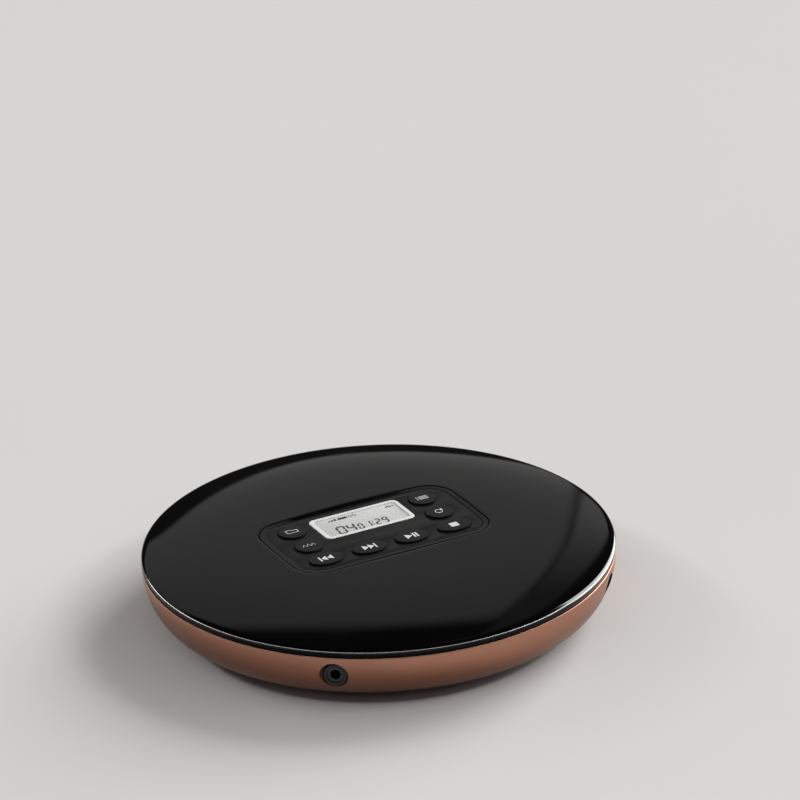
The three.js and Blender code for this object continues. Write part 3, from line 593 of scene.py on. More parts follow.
def plate(size, centre, z0, z1, material="matte_black", place=None, bevel=0.05):
    """A plain plate with rounded corners: size is its width, height and corner radius."""
    return prism("plate", rounded_rect(*size, *centre), [], z0, z1, material, place, bevel)


def joined(name, *pieces):
    """Several pieces as one object, each keeping its own material."""
    work = bmesh.new()
    materials = []
    for piece in pieces:
        start = len(work.faces)
        slots = []
        for material in piece.data.materials:
            if material not in materials:
                materials.append(material)
            slots.append(materials.index(material))
        work.from_mesh(piece.data)
        work.faces.ensure_lookup_table()
        for face in work.faces[start:]:
            face.material_index = slots[face.material_index]
    mesh = bpy.data.meshes.new(name)
    work.to_mesh(mesh)
    work.free()
    for material in materials:
        mesh.materials.append(material)
    for piece in pieces:
        bpy.data.objects.remove(piece)
    return placed(name, mesh)


def carve(piece, operation, *tools):
    """Cuts or joins piece with other solids, which are used up. A cut face takes its tool's material."""
    for tool in tools:
        step = piece.modifiers.new("carve", "BOOLEAN")
        step.operation, step.solver, step.object = operation, "MANIFOLD", tool
        mesh = settled(piece)
        piece.modifiers.remove(step)
        old, piece.data = piece.data, mesh
        mesh.name = piece.name
        bpy.data.meshes.remove(old)
        bpy.data.objects.remove(tool)
    return crease(piece)


def rounded_rect(width, height, radius, x=0.0, y=0.0, steps=8):
    points = []
    for i, (sx, sy) in enumerate(((1, 1), (-1, 1), (-1, -1), (1, -1))):
        cx, cy = x + sx * (width / 2 - radius), y + sy * (height / 2 - radius)
        for k in range(steps + 1):
            t = (i + k / steps) * pi / 2
            points.append((cx + radius * cos(t), cy + radius * sin(t)))
    return points


def ellipse(x, y, rx, ry, count=72):
    return [(x + rx * cos(k * TAU / count), y + ry * sin(k * TAU / count)) for k in range(count)]


def round_end(start, end, count):
    """Points on the hinge's round outline, for a tab or lug seen from the side."""
    return [(HINGE_Y + KNUCKLE_R * cos(t), HINGE_Z + KNUCKLE_R * sin(t))
        for t in np.linspace(start, end, count)]


def outward(outline, x, z):
    """Places a flat outline upright at distance x, so that it looks out along +X."""
    return [(x, u, z + v) for u, v in outline]


# --- keypad outline
def pad_outline(inset, steps=24):
    """The keypad's outline: a rounded rectangle with slightly bowed sides, moved in by inset."""
    w, h, r = PAD_HALF[0] - inset, PAD_HALF[1] - inset, max(PAD_CORNER - inset, 0.5)
    loop = np.array(rounded_rect(2 * w, 2 * h, r, steps=steps))
    dense = []
    for a, b in zip(loop, np.roll(loop, -1, 0)):
        parts = max(1, int(np.linalg.norm(b - a) / 0.4))
        dense += [a + (b - a) * k / parts for k in range(parts)]
    dense = np.array(dense)
    return np.stack([dense[:, 0] * (1 - 0.6 / w * (dense[:, 1] / h) ** 2), PAD_Y + dense[:,
        1] * (1 - 0.7 / h * (dense[:, 0] / w) ** 2)], 1)


RAYS = 480
RAY_ANGLES = np.arange(RAYS) * TAU / RAYS


def pad_reach(inset):
    """How far the keypad's outline is from the lid's centre along each ray."""
    loop = pad_outline(inset)
    angle = np.mod(np.arctan2(loop[:, 1], loop[:, 0]), TAU)
    order = np.argsort(angle)
    return np.interp(RAY_ANGLES, angle[order], np.hypot(loop[:, 0], loop[:, 1])[order], period=TAU)


def ray_ring(reach, height):
    """A ring of points, one on each ray, at the given distances and heights."""
    reach = np.broadcast_to(reach, RAYS)
    height = np.broadcast_to(height, RAYS)
    return np.stack([reach * np.cos(RAY_ANGLES), reach * np.sin(RAY_ANGLES), height], 1)


def dome_line(reach, drop=0.0):
    """Height of the lid's domed top at some distance from its centre, less a drop."""
    return TOP_Z - DOME_FALL * (np.asarray(reach) / DOME_R) ** DOME_POWER - drop


# --- bookkeeping
BODY_OF = {node: body for body, nodes in frame["record"]["behaviour"]["bodies"].items() for node in nodes}


def stands_for(piece, node):
    """The piece rides on the node's body and is shown in its place."""
    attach(piece, BODY_OF[node])
    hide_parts(node)
    return piece


def adds_to(piece, body):
    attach(piece, body)
    return piece


def clad(node, material):
    """Gives a CAD node that stays in view a finished material."""
    for slot in frame["nodes"][node].material_slots:
        slot.material = MATERIALS[material]


# --- lid
def lid_shell():
    pad = pad_reach(0)
    spans = [pad + (64 - pad) * s for s in np.linspace(0, 1, 12)]
    under = [ray_ring(reach, dome_line(reach, WALL)) for reach in spans]
    foot_r = BODY_R - RIM_LEAN
    skirt = [(67.5, 19.95), (69.0, 19.55), (69.25, 19.35), (69.3, 19.1), (69.3, LID_Z + 0.12),
        (69.42, LID_Z), (foot_r - 0.14, LID_Z), (foot_r - 0.03, LID_Z + 0.05), (foot_r + 0.03,
        LID_Z + 0.16)]
    edge_z = dome_line(DOME_EDGE_R)
    slope = DOME_FALL * DOME_POWER / DOME_R * (DOME_EDGE_R / DOME_R) ** (DOME_POWER - 1)
    corner_z = edge_z - slope * (BODY_R - DOME_EDGE_R)
    for t in np.linspace(0, 1, 16)[:-1]:
        skirt.append(((1 - t * t) * BODY_R + t * t * DOME_EDGE_R,
            (1 - t) ** 2 * RIM_TOP_Z + 2 * t * (1 - t) * corner_z + t * t * edge_z))
    lip = pad_reach(-0.05)
    top = [DOME_EDGE_R + (lip - DOME_EDGE_R) * s for s in np.linspace(0, 1, 34)]
    rings = under + [ray_ring(r, z) for r, z in skirt] + [ray_ring(r, dome_line(r)) for r in top]
    rings += [ray_ring(pad_reach(inset), dome_line(lip, drop)) for inset, drop in ((-0.03, 0.01),
        (-0.01, 0.03))]
    rings.append(ray_ring(pad, dome_line(lip, 0.06)))
    shell = loft("lid_top", rings, "piano_black", closed=True)
    rim_row, lip_row = len(under) + 8, len(rings) - 4
    # Painted shade: the upright rim and its lower rounding take the barely reflecting black.
    tone_rows(shell, RAYS, [rim_row - 1, rim_row], "rim_shade_black")
    # Painted shade: the lip round the keypad opening and the opening's wall take shadow_black.
    tone_rows(shell, RAYS, range(lip_row, len(rings)), "shadow_black")
    # Painted highlight: part of the rounding above the rim takes the more reflective black.
    tone_rows(shell, RAYS, range(rim_row + 4, rim_row + 7), "fillet_highlight_black")
    tab = [(HINGE_Y + 1.6, 19.4), (HINGE_Y - 1.6, 19.4), *round_end(pi * 0.82, TAU + 0.56, 26)]
    pin_bore = ellipse(HINGE_Y, HINGE_Z, 1.2, 1.2, 28)
    knuckle = prism("knuckle", tab, [pin_bore], -KNUCKLE_HALF, KNUCKLE_HALF, "piano_black", ALONG_X,
        bevel=0.2)
    shell = carve(shell, "UNION", knuckle)
    bosses = [rod(2.4, 20.7, 22.2, x, y, material="piano_black") for x, y in LID_SCREWS]
    return carve(shell, "UNION", *bosses)


def lid_liner():
    """The liner's underside has a raised middle and two ribs round it."""
    z, raised = LINER_Z, LINER_Z + 0.1
    rows = [(0, z), (8.0, z), (8.3, 20.05), (22.0, 20.05), (22.3, z), (40.0, z), (40.2, raised),
        (41.0, raised), (41.2, z), (58.2, z), (58.4, raised), (59.2, raised), (59.4, z), (62.3, z),
        (62.5, 20.05), (62.5, 20.6), (0, 20.6)]
    liner = turned("lid_liner_skin", rows, "matte_black")
    holes = [rod(2.1, 19.5, 20.15, x, y) for x, y in LID_SCREWS]
    return carve(liner, "DIFFERENCE", *holes, plate((14, 1.6, 0.5), (0, 59.4), 19, 22))


def lid_screw(i, x, y):
    """A countersunk cross-head screw in the lid's liner, seen when the lid is open."""
    rows = [(0, 19.93), (1.5, 19.93), (1.8, 20.02), (1.9, 20.12), (1.3, 20.14), (0.0, 20.14)]
    head = turned(f"lid_screw_{i}", rows, "steel_blasted", shift(x, y), 40)
    return adds_to(carve(head, "DIFFERENCE", *cross_recess(x, y, 19.8, 20.06)), "lid")


def cross_recess(x, y, z0, z1, width=0.42, reach=1.1):
    """Two crossed blades that cut a cross slot."""
    blade = rounded_rect(2 * reach, width, width * 0.3, steps=3)
    return [prism("blade", blade, [], z0, z1, "steel_blasted", shift(x, y) @ turn_z(turn),
        bevel=0.02) for turn in (45, 135)]


def keypad_bezel():
    """A band that lies level with the lid at the front and falls towards the keypad at the back."""
    flush = np.maximum(dome_line(pad_reach(0.3), 0.07), PLATE_Z + 0.08)
    lean = np.clip(flush - PLATE_Z - 0.07, 0.01, BEZEL_LEAN * (0.53 + 0.47 * np.sin(RAY_ANGLES)))
    outer_round, inner_round = 0.05, 0.4
    start = GROOVE + outer_round
    width = BEZEL_W - GROOVE - outer_round - inner_round
    drop = flush - lean
    section = [(GROOVE, PLATE_LOW.z), (GROOVE, flush - 0.05), (GROOVE + 0.02, flush - 0.02), (start, flush)]
    section += [(start + width * s, flush - lean * s) for s in (0.25, 0.5, 0.75, 1.0)]
    section += [(BEZEL_W - 0.34, drop - 0.02), (BEZEL_W - 0.05, drop - 0.04), (BEZEL_W, drop - 0.07),
        (BEZEL_W, PLATE_LOW.z)]
    rings = [ray_ring(pad_reach(inset), height) for inset, height in section]
    band = loft("keypad_bezel_band", rings, "piano_black", closed=True)
    # Painted shade: the outer wall and rounding, the inner rounding and the inner wall take shadow_black,
    # drawing dark lines on both sides of the band.
    tone_rows(band, RAYS, [0, 1, 2, 7, 8, 9, 10, 11], "shadow_black")
    return band


KEYS = {node: box_mm(node) for node in BODY_OF if node.startswith("key_") and node != "key_mat"}


def key_size(node):
    """Centre of a key, and its half width and half depth."""
    low, high = KEYS[node]
    reach_x = (high.x - low.x) / 2
    rx = reach_x - KEY_FLANGE
    return (low.x + high.x) / 2, (low.y + high.y) / 2, rx, (high.y - low.y) / 2 * rx / reach_x


def key_height(node, x, y):
    """Height of a key's softly crowned top."""
    cx, cy, rx, ry = key_size(node)
    return KEY_TOP_Z - KEY_CROWN * hypot((x - cx) / rx, (y - cy) / ry) ** 2


def key_cap(node):
    """An oval cap with a crisp edge. Its upright side takes shadow_black, painted shade for the gap round it.
    """
    cx, cy, rx, ry = key_size(node)
    ring = np.array(ellipse(0, 0, 1, 1, 96))
    edge = KEY_TOP_Z - KEY_CROWN

    def row(inset, z):
        return np.column_stack([cx + ring[:, 0] * (rx - inset), cy + ring[:, 1] * (ry - inset),
            np.full(len(ring), z)])

    rows = [(-0.6, 22.6), (-0.6, 23.1), (0.0, 23.15), (0.0, edge - 0.09), (0.01, edge - 0.045),
        (0.03, edge - 0.012), (0.07, edge)]
    rows += [(rx * (1 - s), key_height(node, cx + rx * s, cy)) for s in (0.9, 0.8, 0.65, 0.5)]
    cap = loft(node + "_cap", [row(inset, z) for inset, z in rows], "key_black")
    # Painted shade: the upright side and its small rounding take shadow_black.
    cap.data.materials.append(MATERIALS["shadow_black"])
    side_top = (edge + 0.001) * MM
    for face in cap.data.polygons:
        if max(cap.data.vertices[v].co.z for v in face.vertices) < side_top:
            face.material_index = 1
    return cap


def keypad_plate():
    gap = 0.16
    holes = [rounded_rect(LCD_W + 0.3, LCD_H + 0.3, 2.15, 0, LCD_Y)]
    for cx, cy, rx, ry in map(key_size, KEYS):
        holes.append(ellipse(cx, cy, rx + gap, ry + gap, 96))
    loop = pad_outline(BEZEL_W - 0.03)[::2]
    return prism("keypad_plate_skin", loop, holes, PLATE_LOW.z, PLATE_Z, "panel_black", bevel=0.02)


# --- symbols
def printed(name, shapes, height, material="white_ink", thick=0.03):
    """Flat prints that lie on a surface: each shape is a list of loops, the first one the outline."""
    prints = []
    for i, loops in enumerate(shapes):
        work = bmesh.new()
        edges = []
        for loop in loops:
            ring = [work.verts.new((x, y, 0)) for x, y in loop]
            edges += [work.edges.new((a, b)) for a, b in zip(ring, ring[1:] + ring[:1])]
        bmesh.ops.triangle_fill(work, edges=edges, use_beauty=True, use_dissolve=False)
        bmesh.ops.recalc_face_normals(work, faces=work.faces)
        raised = bmesh.ops.extrude_face_region(work, geom=list(work.faces))["geom"]
        lifted = {v for v in raised if isinstance(v, bmesh.types.BMVert)}
        for v in work.verts:
            v.co.z = height(v.co.x, v.co.y) + (thick if v in lifted else -0.02)
            v.co *= MM
        mesh = bpy.data.meshes.new(name)
        bmesh.ops.recalc_face_normals(work, faces=work.faces)
        work.to_mesh(mesh)
        work.free()
        mesh.materials.append(MATERIALS[material])
        prints.append(placed(f"{name}_{i}", mesh))
    return joined(name, *prints)


def bar(x0, x1, y0, y1):
    return [[(x0, y0), (x1, y0), (x1, y1), (x0, y1)]]


def triangle(x0, x1, half):
    return [[(x0, -half), (x1, 0), (x0, half)]] if x1 > x0 else [[(x0, half), (x1, 0), (x0, -half)]]


def line_strip(points, width):
    """A stroke of even width along a line of points."""
    left, right = [], []
    for i, (x, y) in enumerate(points):
        ax, ay = points[max(i - 1, 0)]
        bx, by = points[min(i + 1, len(points) - 1)]
        length = hypot(bx - ax, by - ay)
        nx, ny = -(by - ay) / length * width / 2, (bx - ax) / length * width / 2
        left.append((x + nx, y + ny))
        right.append((x - nx, y - ny))
    return [left + right[::-1]]


def arc(cx, cy, r, a0, a1, steps=20):
    angles = [radians(a0 + (a1 - a0) * k / steps) for k in range(steps + 1)]
    return [(cx + r * cos(a), cy + r * sin(a)) for a in angles]


H = 1.42  # half height of the transport symbols
WAVE = [(-2.0, -0.5), (-1.4, 0.55), (-0.7, -0.75), (0.0, 0.9), (0.7, -0.75), (1.4, 0.55), (2.0, -0.5)]
SYMBOLS = {
    "key_previous": [bar(-2.25, -1.75, -H, H), triangle(0.15, -1.65, H), triangle(2.1, 0.25, H)],
    "key_next": [triangle(-2.1, -0.25, H), triangle(-0.15, 1.65, H), bar(1.75, 2.25, -H, H)],
    "key_play_pause": [triangle(-2.0, 0.15, H), bar(0.42, 1.0, -H, H), bar(1.36, 1.94, -H, H)],
    "key_stop": [bar(-1.3, 1.3, -1.3, 1.3)],
    "key_directory": [
        [[(-1.9, -1.0), (1.9, -1.0), (1.9, 0.75), (0.1, 0.75), (-0.35, 1.15), (-1.9, 1.15)],
         [(-1.7, -0.8), (1.7, -0.8), (1.7, 0.55), (0.02, 0.55), (-0.43, 0.95), (-1.7, 0.95)]],
    ],
    "key_anti_shock": [line_strip(WAVE, 0.22)],
    "key_mode": [
        bar(-1.9, -1.5, 0.62, 1.0), bar(-1.1, 1.9, 0.66, 0.96), bar(-1.9, -1.5, -0.19, 0.19),
        bar(-1.1, 1.9, -0.15, 0.15), bar(-1.9, -1.5, -1.0, -0.62), bar(-1.1, 1.9, -0.96, -0.66),
    ],
    "key_repeat": [line_strip(arc(-0.1, 0, 1.1, 60, 345), 0.26), [[(0.35, 0.45), (1.15, 1.55), (1.35, 0.1)]]],
}


def key_print(node):
    cx, cy, _, _ = key_size(node)
    shapes = [[[(x + cx, y + cy) for x, y in loop] for loop in shape] for shape in SYMBOLS[node]]
    return printed(node + "_symbol", shapes, lambda x, y: key_height(node, x, y))


# --- display
SEGMENTS = {"0": "abcdef", "1": "bc", "2": "abged", "4": "fgbc", "9": "abcdfg"}
DIGITS_Y = 5.0
DIGITS = [("0", -9.7, 2.3, 4.6, 0.70), ("4", -6.2, 2.0, 4.6, 0.70), ("0", -2.95, 1.3, 3.3, 0.50),
    ("1", -0.1, 1.1, 3.6, 0.54), ("2", 2.85, 1.35, 3.6, 0.54), ("9", 5.3, 1.35, 3.6, 0.54)]


def digit(text, x, width, height, stroke):
    """A seven-segment numeral that starts at x, leaning slightly."""
    gap, lean, half = stroke * 0.10, 0.10, height / 2
    corners = {"a": (0, height, width, height), "b": (width, height, width, half), "c": (width, half, width,
        0), "d": (0, 0, width, 0), "e": (0, half, 0, 0), "f": (0, height, 0, half), "g": (0, half, width,
        half),}
    shapes = []
    for segment in SEGMENTS[text]:
        ax, ay, bx, by = corners[segment]
        length = hypot(bx - ax, by - ay)
        ux, uy = (bx - ax) / length, (by - ay) / length
        near, far = gap + stroke / 2, length - gap - stroke / 2
        points = []
        for along, side in ((gap, 0), (near, 1), (far, 1), (length - gap, 0), (far, -1), (near, -1)):
            px = ax + ux * along - uy * side * stroke / 2
            py = ay + uy * along + ux * side * stroke / 2
            points.append((x + px + lean * py, DIGITS_Y + py))
        shapes.append([points])
    return shapes


def display_print():
    """The digits with their colon, and bars, a battery and two rings above them."""
    shapes = [shape for numeral in DIGITS for shape in digit(*numeral)]
    shapes += [bar(1.75, 2.17, 5.7, 6.15), bar(1.9, 2.32, 7.3, 7.75)]
    shapes += [bar(-9.3 + k, -9.3 + k + 0.75, 13.95, 13.95 + 0.6 + 0.3 * k) for k in range(3)]
    shapes += [bar(-6.0, -3.1, 13.9, 15.2), bar(-3.1, -2.8, 14.25, 14.85)]
    shapes += [line_strip(arc(-1.9 + 1.5 * k, 14.55, 0.55, 0, 360, 14), 0.22) for k in range(2)]
    shapes += [bar(9.9 + 0.75 * k, 10.38 + 0.75 * k, 13.9, 14.5 + 0.3 * ((k * 2) % 3)) for k in range(4)]
    return printed("lcd_segments", shapes, lambda x, y: CELL_Z, "segment_black", 0.02)


def make_display():
    border_z, pane_z = LCD_HIGH.z + 0.06, 24.46
    outer = rounded_rect(LCD_W, LCD_H, 2.0, 0, LCD_Y)
    inner = rounded_rect(LCD_W - 2.5, LCD_H - 2.5, 1.0, 0, LCD_Y)
    pane_loop = rounded_rect(LCD_W - 2.6, LCD_H - 2.6, 0.95, 0, LCD_Y)
    cell_loop = rounded_rect(LCD_W - 2.55, LCD_H - 2.55, 0.9, 0, LCD_Y)
    border = prism("lcd_border", outer, [inner], LCD_LOW.z, border_z, "frame_white", round_steps=4)
    stands_for(border, "lcd_frame")
    stands_for(prism("lcd_pane", pane_loop, [], CELL_Z + 0.06, pane_z, "clear_window", bevel=0.03),
        "lcd_window")
    stands_for(prism("lcd_cell_block", cell_loop, [], 21.6, CELL_Z, "lcd_cell", bevel=0.05), "lcd_module")
    adds_to(display_print(), "lid")


def make_lid():
    stands_for(lid_shell(), "lid_shell")
    stands_for(lid_liner(), "lid_liner")
    for i, (x, y) in enumerate(LID_SCREWS):
        lid_screw(i + 1, x, y)
    stands_for(keypad_bezel(), "keypad_bezel")
    stands_for(keypad_plate(), "keypad_plate")
    for node in KEYS:
        stands_for(key_cap(node), node)
        adds_to(key_print(node), BODY_OF[node])
    make_display()


# --- side wall
def bowl_point(t, inset=0.0):
    """A point of the side wall's quarter ellipse: t is 0 at the top and 1 at the bottom."""
    angle = t * pi / 2
    a, b = BODY_R - BOWL_R - inset, BOWL_TOP_Z - BOWL_BOTTOM_Z - inset
    return BOWL_R + a * cos(angle), BOWL_TOP_Z - b * sin(angle)


def jack_cutter(degrees):
    """A round dish with a rolled edge, cut straight into the wall, and the socket's hole behind it."""
    rows = [(64, 3.55), (68.6, 3.55), (68.9, 3.75), (69.3, 4.02), (69.8, 4.25), (70.3, 4.5), (73, 5.6)]
    angles = np.arange(64) * TAU / 64
    rings = [np.column_stack([np.full(64, x), r * np.cos(angles), JACK_Z + r * 1.06 * np.sin(angles)])
        for x, r in rows]
    # Painted shade: the faces this cuts into the wall take shadow_black.
    return loft("cutter", rings, "shadow_black", turn_z(degrees))


def slot_cutter(width, height, radius, z, degrees):
    outline = np.array(rounded_rect(width, height, radius))
    # Painted shade: the faces this cuts into the wall take shadow_black.
    return loft("cutter", [outward(outline, x, z) for x in (64, 69.3, 73)], "shadow_black", turn_z(degrees))


def side_wall():
    segments = 256
    outer = [bowl_point(t) for t in np.linspace(1, 0, 44)]
    inner = [bowl_point(t, WALL) for t in np.linspace(0, 1, 20)]
    top = [(BODY_R - 0.02, PART_Z - 0.18), (BODY_R - 0.14, PART_Z - 0.03), (BODY_R - 0.24, PART_Z),
        (BODY_R - WALL + 0.1, PART_Z), (BODY_R - WALL, PART_Z - 0.1)]
    wall = turned("side_wall", outer + top + inner, "copper_anodised", segments=segments)
    # Painted highlight: the top chamfer takes a lighter copy of the copper.
    tone_rows(wall, segments, [len(outer), len(outer) + 1], "copper_edge_highlight")
    slots = [(10.2, 4.4, 2.1, USB_Z, USB_AT), (7.5, 3.9, 1.85, CONTROL_Z, VOLUME_DOWN_AT),
        (7.5, 3.9, 1.85, CONTROL_Z, VOLUME_UP_AT), (9.4, 3.8, 1.8, CONTROL_Z, HOLD_AT),
        (17, 5, 2.4, CONTROL_Z, 0)]
    # Painted shade: the notch's cut faces take shadow_black.
    notch = plate((2 * NOTCH_HALF, 20, 0.6), (0, 70), 12.4, 22, "shadow_black")
    jacks = [jack_cutter(at) for at in (HEADPHONE_AT, LINE_OUT_AT)]
    return carve(wall, "DIFFERENCE", *jacks, *[slot_cutter(*slot) for slot in slots], notch)


def jack_socket(node, degrees):
    """The socket seen in the dish: a black collar with a stepped mouth, a steel ring and a gilt contact."""
    facing = turn_z(degrees) @ Matrix.Translation((0, 0, JACK_Z * MM)) @ Z_TO_X
    body = turned("collar", [(3.5, 61.0), (3.5, 68.2), (3.35, 68.35), (2.75, 68.42), (2.55, 68.3),
        (2.45, 67.9), (1.95, 67.8), (1.80, 67.7), (1.78, 66.9), (1.78, 61.0)], "dark_plastic", facing, 64)
    ring = turned("ring", [(1.78, 66.6), (1.95, 66.7), (1.95, 67.72), (1.90, 67.78), (1.66, 67.78),
        (1.62, 67.7), (1.62, 66.7), (1.68, 66.6)], "steel_dark", facing, 64)
    contact = turned("contact", [(0, 60.9), (1.3, 60.9), (1.3, 61.4), (0.5, 61.9), (0, 61.9)],
        "gold_contact", facing, 24)
    block = plate((6.2, 4.9, 0.5), (0, JACK_Z + 0.1), 55.6, 61.2, "dark_plastic", turn_z(degrees) @ ALONG_X,
        0.2)
    return stands_for(joined(node + "_detail", body, ring, contact, block), node)


def usb_socket():
    outline = np.array(rounded_rect(8.9, 3.2, 1.55))
    mouth = np.array(rounded_rect(8.3, 2.6, 1.28))
    back, face, front, floor = 60.6, 67.45, 67.6, 62
    rings = [outward(loop, x, USB_Z) for loop, x in ((outline, back), (outline, face),
        (outline * 0.985, front), (mouth * 1.012, front), (mouth, face), (mouth, floor),
        (mouth * 0.01, floor), (outline * 0.01, back))]
    shell = loft("shell", rings, "steel_blasted", turn_z(USB_AT), closed=True)
    facing = turn_z(USB_AT) @ Matrix(((0, 1, 0, 0), (-1, 0, 0, 0), (0, 0, 1, USB_Z * MM), (0, 0, 0, 1)))
    tongue = plate((6.6, 5.2, 0.4), (0, 64.5), -0.35, 0.35, "dark_plastic", facing, 0.12)
    contacts = [plate((0.3, 3.4, 0.08), (-2.45 + 0.7 * k, 64.9, 3), 0.33, 0.4, "gold_contact", facing,
        0.02) for k in range(8)]
    return stands_for(joined("usb_socket_detail", shell, tongue, *contacts), "usb_socket")


def pill_x(size, x_back, x_face, degrees, y=0.0, crown=0.12):
    """A rounded key that stands out of the side wall, with a soft edge and a slightly crowned face."""
    outline = np.array(rounded_rect(*size))
    rows = [(x_back, 1.0), (x_face - 0.42, 1.0), (x_face - 0.2, 0.985), (x_face - 0.08, 0.955),
        (x_face - 0.02, 0.91), (x_face + crown * 0.5, 0.7), (x_face + crown * 0.85, 0.4),
        (x_face + crown, 0.1)]
    rings = [outward(outline * s + (y, 0), x, CONTROL_Z) for x, s in rows]
    return loft("pill", rings, "key_black", turn_z(degrees))


def side_print(node, shapes, x_face, degrees):
    """A print on a key that looks out along +X."""
    piece = printed(node + "_symbol", shapes, lambda u, v: 0.0)
    out = Matrix(((0, 0, 1, x_face * MM), (1, 0, 0, 0), (0, 1, 0, CONTROL_Z * MM), (0, 0, 0, 1)))
    piece.data.transform(turn_z(degrees) @ out)
    return adds_to(crease(piece), BODY_OF[node])


MINUS = [(-0.75, -0.14), (0.75, -0.14), (0.75, 0.14), (-0.75, 0.14)]
PLUS = [(-0.75, -0.14), (-0.14, -0.14), (-0.14, -0.75), (0.14, -0.75), (0.14, -0.14), (0.75, -0.14),
    (0.75, 0.14), (0.14, 0.14), (0.14, 0.75), (-0.14, 0.75), (-0.14, 0.14), (-0.75, 0.14)]
VOLUME_KEYS = [("volume_down_key", VOLUME_DOWN_AT, MINUS), ("volume_up_key", VOLUME_UP_AT, PLUS)]


def make_volume_keys():
    for node, degrees, sign in VOLUME_KEYS:
        cap = pill_x((7.0, 3.4, 1.6), 66.6, 70.36, degrees)
        flange = plate((8.4, 4.8, 0.6), (0, CONTROL_Z), 66.2, 66.8, "key_black", turn_z(degrees) @ ALONG_X,
            0.1)
        stands_for(joined(node + "_cap", flange, cap), node)
        side_print(node, [[sign]], 70.46, degrees)


def make_hold_knob():
    knob = [pill_x((3.6, 3.2, 0.6), 66.0, 70.2, HOLD_AT, -1.5, 0.02)]
    knob += [pill_x((0.28, 2.3, 0.13), 70.0, 70.36, HOLD_AT, -2.5 + 0.5 * k, 0.02) for k in range(5)]
    facing = turn_z(HOLD_AT) @ ALONG_X
    knob.append(plate((6.2, 4.8, 0.5), (-1.5, CONTROL_Z), 65.3, 66.2, "key_black", facing, 0.1))
    stands_for(joined("hold_knob_detail", *knob), "hold_knob")


def make_open_slide():
    low, high = box_mm("open_slide")
    slide = [pill_x((8.0, 4.6, 1.2), 65.4, 70.2, 0, -1.5, 0.02)]
    slide += [pill_x((0.34, 3.2, 0.16), 70.0, 70.38, 0, -3.9 + 0.8 * k, 0.02) for k in range(7)]
    middle = ((low.y + high.y) / 2, 12.9)
    slide.append(plate((high.y - low.y, 5.4, 0.5), middle, 64.8, 65.7, "key_black", ALONG_X, 0.1))
    slide.append(plate((2.8, 2.6, 0.3), (8.2, 64.2), 15.9, 16.4, "key_black", SWAP_XY, 0.08))
    slide.append(plate((2.8, 1.6, 0.2), (8.2, 15.7), 64.8, 65.7, "key_black", ALONG_X, 0.08))
    stands_for(joined("open_slide_detail", *slide), "open_slide")


def make_side():
    stands_for(side_wall(), "side_shell")
    jack_socket("headphone_jack", HEADPHONE_AT)
    jack_socket("line_out_jack", LINE_OUT_AT)
    usb_socket()
    make_volume_keys()
    make_hold_knob()
    make_open_slide()


# --- hinge
def make_hinge():
    """Two rounded lugs on a curved foot hold a steel pin. The lid's knuckle turns between them."""
    spread = [radians(a) for a in np.linspace(-14.8, 14.8, 31)]
    rim = [(70.3 * sin(a), 70.3 * cos(a)) for a in spread]
    foot_plate = prism("foot", [*rim, (rim[-1][0], 63), (rim[0][0], 63)], [], 12.5, 14.0, "matte_black",
        bevel=0.2)
    lug = [(HINGE_Y - KNUCKLE_R, 13.7), (HINGE_Y + KNUCKLE_R, 13.7), *round_end(0, pi, 20)]
    lugs = [prism("lug", lug, [], x0, x1, "matte_black", ALONG_X, bevel=0.3, round_steps=4) for x0,
        x1 in ((LUG_FROM, LUG_TO), (-LUG_TO, -LUG_FROM))]
    stands_for(joined("hinge_bracket_body", foot_plate, *lugs), "hinge_bracket")
    half, r = 17, 0.95
    rows = [(0, -half), (r - 0.1, -half), (r, -half + 0.2), (r, half - 0.2), (r - 0.1, half), (0, half)]
    pin = turned("hinge_pin_steel", rows, "steel_x", shift(0, HINGE_Y, HINGE_Z) @ Z_TO_X, 32)
    stands_for(pin, "hinge_pin")


# --- bottom
def bottom_cover():
    low, high = COVER_LOW.z, COVER_HIGH.z
    rows = above(low, [(0.01, 0), (20.0, 0), (20.15, 0.14), (20.45, 0.14), (20.6, 0), (44.0, 0),
        (44.15, 0.14), (44.45, 0.14), (44.6, 0), (57.3, 0), (57.75, 0.12), (58.3, 0.55), (58.8, 1.15),
        (59.0, 1.55)])
    rows += [(59.0, high), (57.6, high), *above(low, [(57.6, 1.4), (0.01, 1.4)])]
    cover = turned("cover", rows, "matte_black", segments=160)
    counterbore = above(low, [(0, -1), (2.5, -1), (2.5, 0.1), (2.2, 0.4), (2.2, 2.6), (0, 2.6)])
    cutters = [rod(8.3, low - 1, low + 0.55, x, y, 64) for x, y in FEET]
    cutters += [spun(counterbore, x, y) for x, y in SCREWS]
    cutters += [plate((1.1, 13, 0.5), (-12 + 3 * k, 22, 4), low - 1, low + 4) for k in range(9)]
    bosses = [rod(3.2, low + 1.2, 6.5, x, y, bore=2.25) for x, y in SCREWS]
    skin = carve(cover, "DIFFERENCE", *cutters)
    return stands_for(joined("bottom_cover_skin", skin, *bosses), "bottom_cover")


def foot(i, x, y):
    """A rubber foot with a rolled edge and two moulded rings."""
    low, high = box_mm(f"foot_{i}")
    r = (high.x - low.x) / 2
    rows = [(0, 0.22), (r * 0.42, 0.22), (r * 0.46, 0.0), (r * 0.55, 0.0), (r * 0.6, 0.14), (r * 0.66, 0.0),
        (r - 0.55, 0.0), (r - 0.25, 0.06), (r - 0.06, 0.25), (r, 0.5), (r, high.z), (0, high.z)]
    return stands_for(turned(f"foot_{i}_pad", rows, "rubber_black", shift(x, y), 72), f"foot_{i}")


